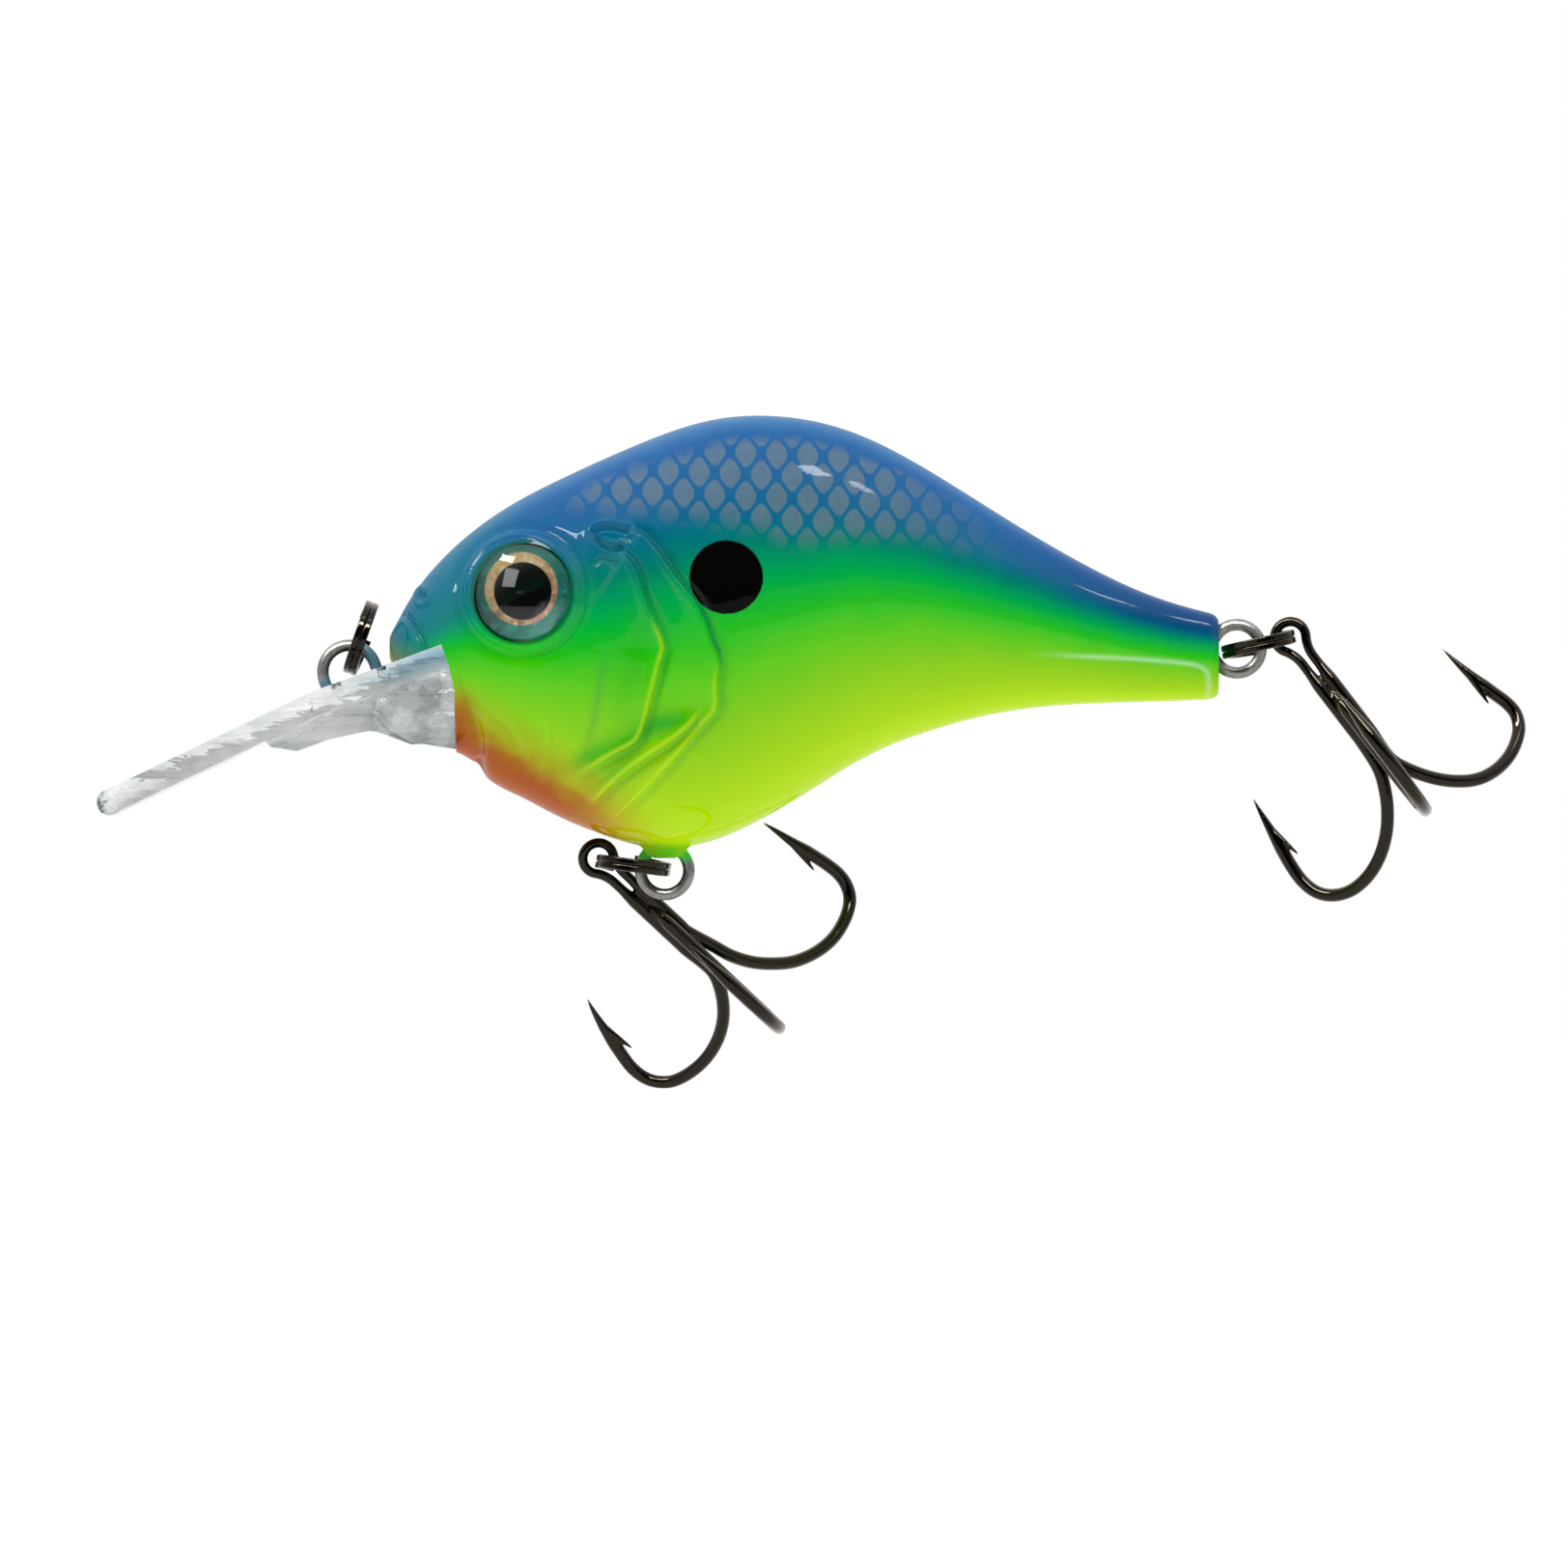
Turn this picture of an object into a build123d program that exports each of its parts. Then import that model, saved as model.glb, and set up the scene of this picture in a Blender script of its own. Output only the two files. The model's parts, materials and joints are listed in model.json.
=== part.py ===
"""Deep-diving crankbait lure, modelled at real size in millimetres.

Frame: the centre of the line-tie eye is the origin. +Z is up as the lure swims, the head
points towards -X, and Y = 0 is the plane the two moulded body halves meet on. The left
half lies at -Y (side = -1) and the right half at +Y (side = 1).
"""

import math
import os

from build123d import *

os.makedirs("parts", exist_ok=True)

# ------------------------------------------------------------------ dimensions (mm)
# body stations: X, top Z, bottom Z, half width, section power (2 = ellipse, more = squarer)
BODY = [
    (3.42, 2.95, 1.15, 1.00, 2.0),
    (3.60, 3.38, 0.67, 1.70, 2.0),
    (4.20, 4.50, -2.50, 2.80, 2.0),
    (5.00, 5.95, -4.31, 3.80, 2.0),
    (6.20, 7.67, -5.54, 4.85, 2.05),
    (7.80, 9.50, -6.33, 5.95, 2.1),
    (9.80, 11.38, -7.30, 6.95, 2.1),
    (12.20, 13.20, -9.20, 7.95, 2.15),
    (15.00, 14.90, -10.83, 8.80, 2.15),
    (18.00, 16.41, -12.39, 9.50, 2.15),
    (21.50, 18.03, -13.81, 10.05, 2.15),
    (25.00, 19.53, -14.82, 10.35, 2.15),
    (28.50, 20.81, -14.85, 10.35, 2.15),
    (32.00, 21.59, -13.90, 10.05, 2.15),
    (35.50, 21.75, -12.20, 9.50, 2.15),
    (39.00, 21.37, -10.14, 8.75, 2.15),
    (42.50, 20.43, -7.95, 7.95, 2.15),
    (46.00, 18.88, -6.19, 7.10, 2.15),
    (49.50, 16.91, -4.93, 6.30, 2.15),
    (53.00, 14.74, -3.94, 5.55, 2.2),
    (56.50, 12.55, -3.26, 4.90, 2.25),
    (60.00, 10.46, -2.85, 4.30, 2.3),
    (63.50, 8.55, -2.65, 3.80, 2.4),
    (67.00, 6.91, -2.55, 3.35, 2.6),
    (70.50, 5.68, -2.44, 3.00, 2.8),
    (73.77, 4.82, -2.25, 2.75, 3.0),
]
SECTION_STEPS = 14  # steps round each half section
WALL = 1.6  # moulded wall of each body half
CAVITY_X0, CAVITY_X1 = 15.0, 60.0  # first and last station of the cavity
RIB_T, RIB_XS = 1.2, (24.0, 46.5)  # cross ribs
BOSS_LENGTH, BOSS_HALF_WIDTH = 4.4, 1.6  # belly hanger boss
BOSS_Z, BOSS_HEIGHT = -16.0, 3.5

# gill covers in side view, X and Z
GILL_OUTER = [
    (21.3, 12.2), (23.4, 12.2), (25.4, 11.1), (27.5, 8.3), (29.3, 6.0), (30.7, 2.6),
    (31.3, 0.5), (31.1, -1.5), (30.1, -4.3), (28.3, -6.5), (26.7, -8.3), (24.0, -11.1),
    (22.8, -12.7), (19.0, -14.5), (14.0, -12.0), (16.5, -6.0), (19.5, 2.0),
]
GILL_INNER = [
    (23.3, 9.8), (24.6, 8.3), (25.2, 6.0), (26.7, 2.6), (26.5, 1.1), (25.8, -1.6),
    (24.8, -5.4), (22.2, -7.0), (18.7, -9.1), (15.5, -9.5), (17.5, -4.0), (20.3, 4.0),
]
GILL_STEP = 0.35  # height of each gill cover over the one below
GILL_TRIM = 0.2  # cover sections stop short of the body's top and bottom
GILL_STATIONS = BODY[6:14]

# diving lip: top face line in side view, X and Z, from inside the head to the tip
LIP_TOP = [(14.5, 4.73), (7.87, 2.30), (-2.62, -1.56), (-12.1, -6.06), (-20.4, -10.0)]
LIP_T = 2.0  # plate thickness
TANG_DROP = LIP_T * 1.08  # upright thickness at the tang
TANG_X = LIP_TOP[0][0]  # end of the tang inside the head
ROOT_X = 9.4  # where the root narrows to the tang
TANG_HALF = 3.2
LIP_ROOT_HALF = 5.6
LIP_MID_HALF = 7.6
LIP_WIDE_HALF = 9.2
MOUTH_EDGE = [(8.52, 0.49), (9.00, -1.56)]  # where lip and body meet, X and Z
PIN_X = 11.9
PIN_SPOTS = [(0, -1.7), (0, 1.7)]
PIN_R, PIN_HOLE_R = 0.70, 0.75
PIN_CUT = 8  # depth of the pin cuts

# wire forms
HANGER_D = 1.0  # hanger and line-tie wire
LOOP_R = 2.05  # hanger loop centreline radius
HANGER_GAP, HANGER_TURN = 0.54, 1.0  # half gap of the legs, radius of the turns at the neck
HANGER_CORNER = 0.8  # corner radius of the feet
TIE_R = 2.26  # line-tie eye centreline radius
TIE_LEG, TIE_FOOT, TIE_CORNER = 1.6, 2.6, 0.7
CORNER_MID = 1 - math.sqrt(0.5)  # inset of a corner's middle, per unit of radius
LIP_DIR = (0.9385, 0.3453)  # along the lip root, X and Z
BELLY_H = (26.76, -16.84)  # belly hanger loop centre, X and Z
TAIL_H = (75.33, 1.97)  # tail hanger loop centre, X and Z

# split rings: two close turns of small wire
RING_R = 2.93  # mean radius
RING_W = 0.56  # wire section across
RING_CORNER = 0.14
RING_PITCH = 0.58
RING_TURNS = 1.9
TIE_RING_DIR = (0.359, 0.933)
TIE_RING_HINGE = (-0.05, 0.14)
BELLY_RING_DIR = (-0.9858, 0.1667)
TAIL_RING_DIR = (0.983, 0.182)
# near wire from the loop centre, along the ring
TIE_NEAR, BELLY_NEAR, TAIL_NEAR = 0.0, -0.22, -1.05

# treble hooks; distances along the shank run from the eye centre
HOOK_R = 1.15 / 2  # wire radius
EYE_WIRE_D = 0.85  # wire drawn thinner round the eye
EYE_HOLE_R = 0.90  # inside radius of the treble eye
EYE_TURN = 3.2  # radius of the turns where the shanks spread to the eye
PACK_R = HOOK_R * 2 / math.sqrt(3) + 0.004  # three shanks packed round the axis
TAPER_START, DOUBLE_TOP, SINGLE_TOP = 3.7, 5.2, 6.8  # thin wire end, full shank tops
SHANK_BEND_S = 13.5  # start of the bend
BEND_R = 6.25  # bend radius, centreline
LEG_END = (12.37, 10.5)  # end of the round point leg, from the axis and along the shank
POINT_LENGTH, POINT_R, POINT_SHIFT = 2.2, 0.07, 0.12
BARB_HALF_T = 0.22

# eyes: each axis leans forwards and up a little so the eye sits flush in the cheek
EYE_C = (14.80, 6.68)  # X and Z
EYE_TILT = (-0.19, 0.13)  # X and Z lean of the axis
EYE_SURF = 8.30  # distance of the cheek face from the middle plane at the eye centre
EYE_R = 4.1
SOCKET_R = 4.2
SOCKET_FLOOR = -1.50  # from the cheek face, along the eye axis
FOIL_T, FOIL_INSET = 0.20, 0.15
LENS_T, DOME_H = 1.15, 0.95
DOME_ROOT = 0.3  # depth the dome reaches into the lens
RIM_R, RIM_BASE, RIM_HEIGHT = 4.95, -2.2, 2.3

# loose and fixed balls: diameter, centre X and Z, travel to each side
BALLAST_D, BALLAST_C = 8.0, (27.5, -7.2)
HEAD_RATTLE_D, HEAD_RATTLE_C, HEAD_RATTLE_TRAVEL = 4.4, (22.5, 9.0), 3.4
SHOULDER_RATTLE = (4.8, (37.0, 11.0), 4.0)
TAIL_RATTLE = (3.2, (53.5, 4.2), 3.0)
LENGTHWISE_RATTLES = (SHOULDER_RATTLE, TAIL_RATTLE)
CHAMBER_GAP = 0.15  # chamber radius over ball radius
END_GAP = 0.1  # chamber end beyond the ball's travel
TUBE_WALL = 1.2


# ------------------------------------------------------------------ shared helpers
def unit(direction):
    """X and Z of a direction scaled to length 1."""
    length = math.hypot(*direction)
    return direction[0] / length, direction[1] / length


def side_plane(origin=(0, 0, 0), x_dir=(1, 0, 0)):
    """Plane seen from the left: by default local x is +X, local y is +Z; normal is -Y."""
    return Plane(origin=origin, x_dir=x_dir, z_dir=(0, -1, 0))


def station_plane(x):
    """Cross-section plane: local x is +Y, local y is +Z."""
    return Plane(origin=(x, 0, 0), x_dir=(0, 1, 0), z_dir=(1, 0, 0))


def section_points(top, bottom, half, power, side):
    """Points round one half of a body section, top to bottom, at the given side."""
    middle, height = (top + bottom) / 2, (top - bottom) / 2
    points = []
    for i in range(SECTION_STEPS + 1):
        angle = math.pi * i / SECTION_STEPS
        cos, sin = math.cos(angle), math.sin(angle)
        y = 0.0 if i in (0, SECTION_STEPS) else half * abs(sin) ** (2 / power)
        z = middle + height * math.copysign(abs(cos) ** (2 / power), cos)
        points.append((side * y, z))
    return points


def half_section(x, top, bottom, half, power, side):
    """One closed half section on the plane at x."""
    with BuildSketch(station_plane(x)) as section_face:
        with BuildLine():
            points = section_points(top, bottom, half, power, side)
            Spline(*points, tangents=[(side, 0), (-side, 0)])
            Line(points[-1], points[0])
        make_face()
    return section_face.sketch


def lip_point(x, drop=0.0):
    """Side-view point at x, at the given drop below the lip's top face."""
    points = sorted(LIP_TOP)
    for (x0, z0), (x1, z1) in zip(points, points[1:]):
        if x <= x1:
            return x, z0 + (z1 - z0) * (x - x0) / (x1 - x0) - drop


PIN_PLANE = Plane(origin=(PIN_X, 0, lip_point(PIN_X)[1] + 3), x_dir=(1, 0, 0), z_dir=(0, 0, -1))


# ------------------------------------------------------------------ wire forms
def wire_along(line, diameter):
    """Round wire following a planar line."""
    with BuildPart() as wire:
        with BuildSketch(Plane(origin=line @ 0, z_dir=line % 0)):
            Circle(diameter / 2)
        sweep(path=line)
    return wire.part


def omega_line(loop_r, gap, turn, leg_end, foot=0.0, corner=0.0):
    """Omega shape: the loop is centred on 0,0 and the legs run to +y, 2 * gap apart.

    With a foot length, the legs end in rounded corners and feet turned outwards.
    """
    turn_x = gap + turn
    neck = math.sqrt((loop_r + turn) ** 2 - turn_x**2)
    ratio = loop_r / (loop_r + turn)
    touch_x, touch_y = turn_x * ratio, neck * ratio
    # middle of the small turn, on the bisector between its two tangent points
    touch_angle = math.atan2(touch_y - neck, touch_x - turn_x) + 2 * math.pi
    mid_angle = (touch_angle + math.pi) / 2
    mid_x = turn_x + turn * math.cos(mid_angle)
    mid_y = neck + turn * math.sin(mid_angle)
    inset = corner * CORNER_MID
    leg_top = leg_end - corner
    with BuildLine() as omega:
        if foot:
            Line((-gap - foot, leg_end), (-gap - corner, leg_end))
            ThreePointArc(
                (-gap - corner, leg_end), (-gap - inset, leg_end - inset), (-gap, leg_top)
            )
        Line((-gap, leg_top), (-gap, neck))
        ThreePointArc((-gap, neck), (-mid_x, mid_y), (-touch_x, touch_y))
        ThreePointArc((-touch_x, touch_y), (0, -loop_r), (touch_x, touch_y))
        ThreePointArc((touch_x, touch_y), (mid_x, mid_y), (gap, neck))
        Line((gap, neck), (gap, leg_top))
        if foot:
            ThreePointArc(
                (gap, leg_top), (gap + inset, leg_end - inset), (gap + corner, leg_end)
            )
            Line((gap + corner, leg_end), (gap + foot, leg_end))
    return omega.line


def hanger(centre, x_dir, foot_depth, foot):
    """Omega hanger in the middle plane, its loop centred at X and Z of `centre`."""
    plane = side_plane((centre[0], 0, centre[1]), x_dir)
    line = omega_line(LOOP_R, HANGER_GAP, HANGER_TURN, foot_depth, foot, HANGER_CORNER)
    return wire_along(plane * line, HANGER_D)


def line_tie():
    """Staple: half a turn over two legs whose feet lie inside the lip plate."""
    radius, leg, corner = TIE_R, TIE_LEG, TIE_CORNER
    inset = corner * CORNER_MID
    with BuildLine() as staple:
        Line((-radius - TIE_FOOT, -leg), (-radius - corner, -leg))
        ThreePointArc(
            (-radius - corner, -leg), (-radius - inset, -leg + inset), (-radius, -leg + corner)
        )
        Line((-radius, -leg + corner), (-radius, 0))
        ThreePointArc((-radius, 0), (0, radius), (radius, 0))
        Line((radius, 0), (radius, -leg + corner))
        ThreePointArc(
            (radius, -leg + corner), (radius + inset, -leg + inset), (radius + corner, -leg)
        )
        Line((radius + corner, -leg), (radius + TIE_FOOT, -leg))
    plane = side_plane(x_dir=(LIP_DIR[0], 0, LIP_DIR[1]))
    return wire_along(plane * staple.line, HANGER_D)


# ------------------------------------------------------------------ split rings
def split_ring(hinge, direction, near):
    """Two-turn ring in the plane of Y and `direction`; its near wire passes the hinge."""
    dx, dz = unit(direction)
    reach = RING_R + near
    centre = (hinge[0] + reach * dx, 0, hinge[1] + reach * dz)
    # the helix axis stands across the ring plane, and it starts at the side of the ring
    plane = Plane(origin=centre, x_dir=(0, 1, 0), z_dir=(-dz, 0, dx))
    height = RING_PITCH * RING_TURNS
    with BuildPart() as ring:
        with BuildLine():
            path = Helix(RING_PITCH, height, RING_R)
        with BuildSketch(Plane(origin=path @ 0, x_dir=(0, 0, 1), z_dir=path % 0)):
            RectangleRounded(RING_W, RING_W, RING_CORNER)
        sweep(path=path, is_frenet=True)
    return plane.location * ring.part.moved(Location((0, 0, -height / 2)))


# ------------------------------------------------------------------ treble hooks
def hook_line(top):
    """Shank from `top`, round bend and incurved point leg of one hook.

    Local x is the distance from the treble axis, local y runs down the shank.
    """
    bend_end = (PACK_R + 2 * BEND_R, SHANK_BEND_S)
    # short curve blends the bend into the straight point leg
    blend = (bend_end[0] - 0.10, SHANK_BEND_S - 1.9)
    with BuildLine() as line:
        Line((PACK_R, top), (PACK_R, SHANK_BEND_S))
        ThreePointArc(
            (PACK_R, SHANK_BEND_S), (PACK_R + BEND_R, SHANK_BEND_S + BEND_R), bend_end
        )
        Spline(bend_end, blend, LEG_END, tangents=[(0, -1), (-0.24, -1)])
    return line.line


def hook_solid(top):
    """One hook: swept wire, a drawn-out point and a lifted barb on the inner side."""
    line = hook_line(top)
    with BuildPart() as hook:
        with BuildSketch(Plane(origin=line @ 0, z_dir=line % 0)):
            Circle(HOOK_R)
        sweep(path=line)
        end, way = line @ 1, line % 1
        with BuildSketch(Plane(origin=end, z_dir=way)):
            Circle(HOOK_R)
        tip = end + way * POINT_LENGTH + Vector(POINT_SHIFT, 0, 0)
        with BuildSketch(Plane(origin=tip, z_dir=way)):
            Circle(POINT_R)
        loft()
        # barb: a thin wedge on the inner side, leaning back down the leg
        base = end - way * 0.55
        with BuildSketch(Plane.XY):
            with BuildLine():
                Polyline(
                    (base.X - HOOK_R * 0.55, base.Y - 0.95),
                    (base.X - HOOK_R - 0.72, base.Y + 0.85),
                    (base.X - HOOK_R * 0.45, base.Y + 0.55),
                    close=True,
                )
            make_face()
        extrude(amount=BARB_HALF_T, both=True)
    return hook.part


def shank_taper():
    """Cone from the thin eye wire to the full wire of one shank."""
    with BuildPart() as taper:
        with BuildSketch(Plane(origin=(PACK_R, TAPER_START, 0), z_dir=(0, 1, 0))):
            Circle(EYE_WIRE_D / 2)
        with BuildSketch(Plane(origin=(PACK_R, DOUBLE_TOP, 0), z_dir=(0, 1, 0))):
            Circle(HOOK_R)
        loft()
    return taper.part


def treble(eye, direction, tilt_deg, side_shift):
    """Double hook and single hook of one treble, with the eye centre at X and Z of `eye`.

    direction is the shank's X and Z; tilt_deg swings the bends towards +Y, and
    side_shift moves the eye along Y.
    """
    dx, dz = unit(direction)
    tilt = math.radians(tilt_deg)
    down = Vector(dx * math.cos(tilt), math.sin(tilt), dz * math.cos(tilt))
    across = Vector(-dz, 0, dx)
    sideways = across.cross(down)  # square to the shank, mostly +Y
    origin = Vector(eye[0], side_shift, eye[1])

    def placed(start, radial):
        """Location with local x along radial and local y down the shank."""
        return Plane(origin=start, x_dir=radial, z_dir=radial.cross(down)).location

    spread = math.radians(30)
    with BuildPart() as double:
        for sign in (1, -1):
            radial = across * (sign * math.cos(spread)) + sideways * math.sin(spread)
            add(placed(origin, radial) * hook_solid(DOUBLE_TOP))
            add(placed(origin, radial) * shank_taper())
        # the eye: both shanks spread and meet round the hole, in the plane of the pair
        eye_line = omega_line(
            loop_r=EYE_HOLE_R + EYE_WIRE_D / 2,
            gap=PACK_R * math.cos(spread),
            turn=EYE_TURN,
            leg_end=TAPER_START,
        )
        pair_origin = origin + sideways * (PACK_R / 2)
        add(placed(pair_origin, across) * wire_along(eye_line, EYE_WIRE_D))
    with BuildPart() as single:
        add(placed(origin, sideways * -1) * hook_solid(SINGLE_TOP))
    return double.part, single.part


def far_wire(hinge, direction, near, offset):
    """X and Z of a ring's far wire, moved by an offset."""
    dx, dz = unit(direction)
    reach = 2 * RING_R + near
    return hinge[0] + reach * dx + offset[0], hinge[1] + reach * dz + offset[1]


# ------------------------------------------------------------------ diving lip
def make_lip(tie_wire):
    with BuildPart() as lip:
        # plate: side outline with a rounded tip, cut wider than the finished lip
        tip_x, tip_z = LIP_TOP[-1]
        tip_under = (tip_x + 0.75, tip_z - LIP_T * 0.98)
        with BuildSketch(side_plane()):
            with BuildLine():
                Polyline(*LIP_TOP)
                ThreePointArc(LIP_TOP[-1], (tip_x - 0.95, tip_z - 1.25), tip_under)
                Polyline(
                    tip_under,
                    lip_point(-12.6, LIP_T * 1.12),
                    lip_point(-2.2, LIP_T * 1.10),
                    lip_point(8.6, TANG_DROP),
                    lip_point(TANG_X, TANG_DROP),
                    LIP_TOP[0],
                )
            make_face()
        extrude(amount=LIP_WIDE_HALF + 1, both=True)
        # plan outline of the plate
        with BuildSketch(Plane.XY.offset(-16)):
            with BuildLine():
                Polyline(
                    (TANG_X, -TANG_HALF),
                    (ROOT_X, -TANG_HALF),
                    (ROOT_X, -LIP_ROOT_HALF),
                    (6.0, -LIP_ROOT_HALF),
                )
                Spline(
                    (6.0, -LIP_ROOT_HALF),
                    (-2.0, -LIP_MID_HALF),
                    (-11.0, -LIP_WIDE_HALF),
                    (-17.5, -7.8),
                    (-21.7, 0),
                    (-17.5, 7.8),
                    (-11.0, LIP_WIDE_HALF),
                    (-2.0, LIP_MID_HALF),
                    (6.0, LIP_ROOT_HALF),
                    tangents=[(-1, 0), (1, 0)],
                )
                Polyline(
                    (6.0, LIP_ROOT_HALF),
                    (ROOT_X, LIP_ROOT_HALF),
                    (ROOT_X, TANG_HALF),
                    (TANG_X, TANG_HALF),
                    (TANG_X, -TANG_HALF),
                )
            make_face()
        extrude(amount=32, mode=Mode.INTERSECT)
        # throat block under the root of the plate, blending towards the chin
        with BuildSketch(side_plane()):
            with BuildLine():
                Polyline(
                    lip_point(8.28, 1.3),
                    *MOUTH_EDGE,
                    (9.00, -6.55),
                    (5.25, -5.95),
                    (3.4, -4.9),
                    (2.2, -3.2),
                    lip_point(2.6, 1.5),
                    close=True,
                )
            make_face()
        extrude(amount=4.1, both=True)
        # keel web down the middle of the underside
        with BuildSketch(side_plane()):
            with BuildLine():
                Polyline(
                    lip_point(6.5, 1.5),
                    (6.5, -6.1),
                    (5.25, -6.15),
                    (2.38, -5.08),
                    (1.6, -5.0),
                    (-1.80, -5.74),
                    (-4.43, -6.72),
                    (-6.64, -6.39),
                    lip_point(-7.6, 1.5),
                    close=True,
                )
            make_face()
        extrude(amount=0.9, both=True)
        # two holes in the tang for the locating pins of the body halves
        with BuildSketch(PIN_PLANE):
            with Locations(*PIN_SPOTS):
                Circle(PIN_HOLE_R)
        extrude(amount=PIN_CUT, mode=Mode.SUBTRACT)
        add(tie_wire, mode=Mode.SUBTRACT)
    return lip.part


# ------------------------------------------------------------------ eyes
def eye_plane(side):
    """Plane of the cheek face at the eye, its normal pointing outwards."""
    normal = Vector(EYE_TILT[0], side, EYE_TILT[1]).normalized()
    return Plane(
        origin=(EYE_C[0], side * EYE_SURF, EYE_C[1]),
        x_dir=(1, -normal.X / normal.Y, 0),
        z_dir=normal,
    )


def eye_foil(side):
    with BuildPart() as foil:
        with BuildSketch(eye_plane(side).offset(SOCKET_FLOOR)):
            Circle(EYE_R - FOIL_INSET)
        extrude(amount=FOIL_T)
    return foil.part


def eye_lens(side):
    """Disc with a domed outer face."""
    base = SOCKET_FLOOR + FOIL_T
    dome = eye_plane(side).offset(base + LENS_T)
    dome_r = (EYE_R**2 + DOME_H**2) / (2 * DOME_H)
    mid_height = DOME_H - dome_r + math.sqrt(dome_r * dome_r - EYE_R**2 / 4)
    with BuildPart() as lens:
        with BuildSketch(eye_plane(side).offset(base)):
            Circle(EYE_R)
        extrude(amount=LENS_T)
        # dome profile: local y runs out along the eye axis
        with BuildSketch(
            Plane(origin=dome.origin, x_dir=dome.x_dir, z_dir=dome.x_dir.cross(dome.z_dir))
        ):
            with BuildLine():
                Line((0, -DOME_ROOT), (0, DOME_H))
                ThreePointArc((0, DOME_H), (EYE_R / 2, mid_height), (EYE_R, 0))
                Polyline((EYE_R, 0), (EYE_R, -DOME_ROOT), (0, -DOME_ROOT))
            make_face()
        revolve(axis=Axis(dome.origin, dome.z_dir), revolution_arc=360)
    return lens.part


# ------------------------------------------------------------------ balls
def ball(diameter, centre):
    with BuildPart() as sphere:
        with Locations((centre[0], 0, centre[1])):
            Sphere(diameter / 2)
    return sphere.part


# ------------------------------------------------------------------ body halves
def cavity_solid():
    """Hollow of both halves, less the ribs and bosses that stand inside it."""
    with BuildPart() as cavity:
        for x, top, bottom, half, power in BODY:
            if CAVITY_X0 <= x <= CAVITY_X1:
                with BuildSketch(station_plane(x)):
                    points = section_points(
                        top - WALL * 1.12, bottom + WALL * 1.1, half - WALL, power, 1
                    )
                    mirrored = [(-y, z) for y, z in reversed(points)]
                    with BuildLine():
                        Spline(*points, tangents=[(1, 0), (-1, 0)])
                        Spline(*mirrored, tangents=[(-1, 0), (1, 0)])
                    make_face()
        loft()
        for x in RIB_XS:
            with Locations((x, 0, 3)):
                Box(RIB_T, 30, 60, mode=Mode.SUBTRACT)
        # eye socket bosses
        for side in (-1, 1):
            with BuildSketch(eye_plane(side).offset(-3.4)):
                Circle(SOCKET_R + 1.3)
            extrude(amount=8, mode=Mode.SUBTRACT)
        # ballast cup and the hanger anchor block below it
        with Locations((BALLAST_C[0], 0, BALLAST_C[1] - 3.5)):
            Box(11.4, 30, 13, mode=Mode.SUBTRACT)
        # rattle tubes: one across the head, two boxed ones along the body
        with BuildSketch(Plane(origin=(HEAD_RATTLE_C[0], 30, HEAD_RATTLE_C[1]), z_dir=(0, -1, 0))):
            Circle(HEAD_RATTLE_D / 2 + TUBE_WALL)
        extrude(amount=60, mode=Mode.SUBTRACT)
        for diameter, (x, z), travel in LENGTHWISE_RATTLES:
            with Locations((x, 0, z)):
                Box(
                    diameter + 2 * travel + 2 * TUBE_WALL, 30, diameter + 2.0, mode=Mode.SUBTRACT
                )
    return cavity.part


def ball_chambers():
    """Seat of the ballast ball and running space of the rattle balls."""
    with BuildPart() as chambers:
        with Locations((BALLAST_C[0], 0, BALLAST_C[1])):
            Sphere(BALLAST_D / 2)
        run = HEAD_RATTLE_TRAVEL + END_GAP
        start = (HEAD_RATTLE_C[0], run + HEAD_RATTLE_D / 2, HEAD_RATTLE_C[1])
        with BuildSketch(Plane(origin=start, z_dir=(0, -1, 0))):
            Circle(HEAD_RATTLE_D / 2 + CHAMBER_GAP)
        extrude(amount=2 * run + HEAD_RATTLE_D)
        for diameter, (x, z), travel in LENGTHWISE_RATTLES:
            run = travel + END_GAP
            with BuildSketch(Plane(origin=(x - run - diameter / 2, 0, z), z_dir=(1, 0, 0))):
                Circle(diameter / 2 + CHAMBER_GAP)
            extrude(amount=2 * run + diameter)
    return chambers.part


def mouth_space():
    """Everything in front of the mouth edge and under the lip's top face."""
    with BuildPart() as mouth:
        with BuildSketch(side_plane()):
            with BuildLine():
                Polyline(
                    lip_point(-8),
                    lip_point(3.0),
                    lip_point(7.87),
                    *MOUTH_EDGE,
                    (9.00, -7.2),
                    (9.00, -12.0),
                    (-8, -12.0),
                    close=True,
                )
            make_face()
        extrude(amount=15, both=True)
    return mouth.part


def tang_slot():
    """Slot for the tang and the wider lip root, less the locating pins."""
    with BuildPart() as slot:
        for end_x, half_width in ((TANG_X, TANG_HALF), (ROOT_X, LIP_ROOT_HALF)):
            with BuildSketch(side_plane()):
                with BuildLine():
                    Polyline(
                        lip_point(7.0),
                        lip_point(end_x),
                        lip_point(end_x, TANG_DROP),
                        lip_point(7.0, TANG_DROP),
                        close=True,
                    )
                make_face()
            extrude(amount=half_width, both=True)
        # the pins stay as part of the body halves
        with BuildSketch(PIN_PLANE):
            with Locations(*PIN_SPOTS):
                Circle(PIN_R)
        extrude(amount=PIN_CUT, mode=Mode.SUBTRACT)
    return slot.part


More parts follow.
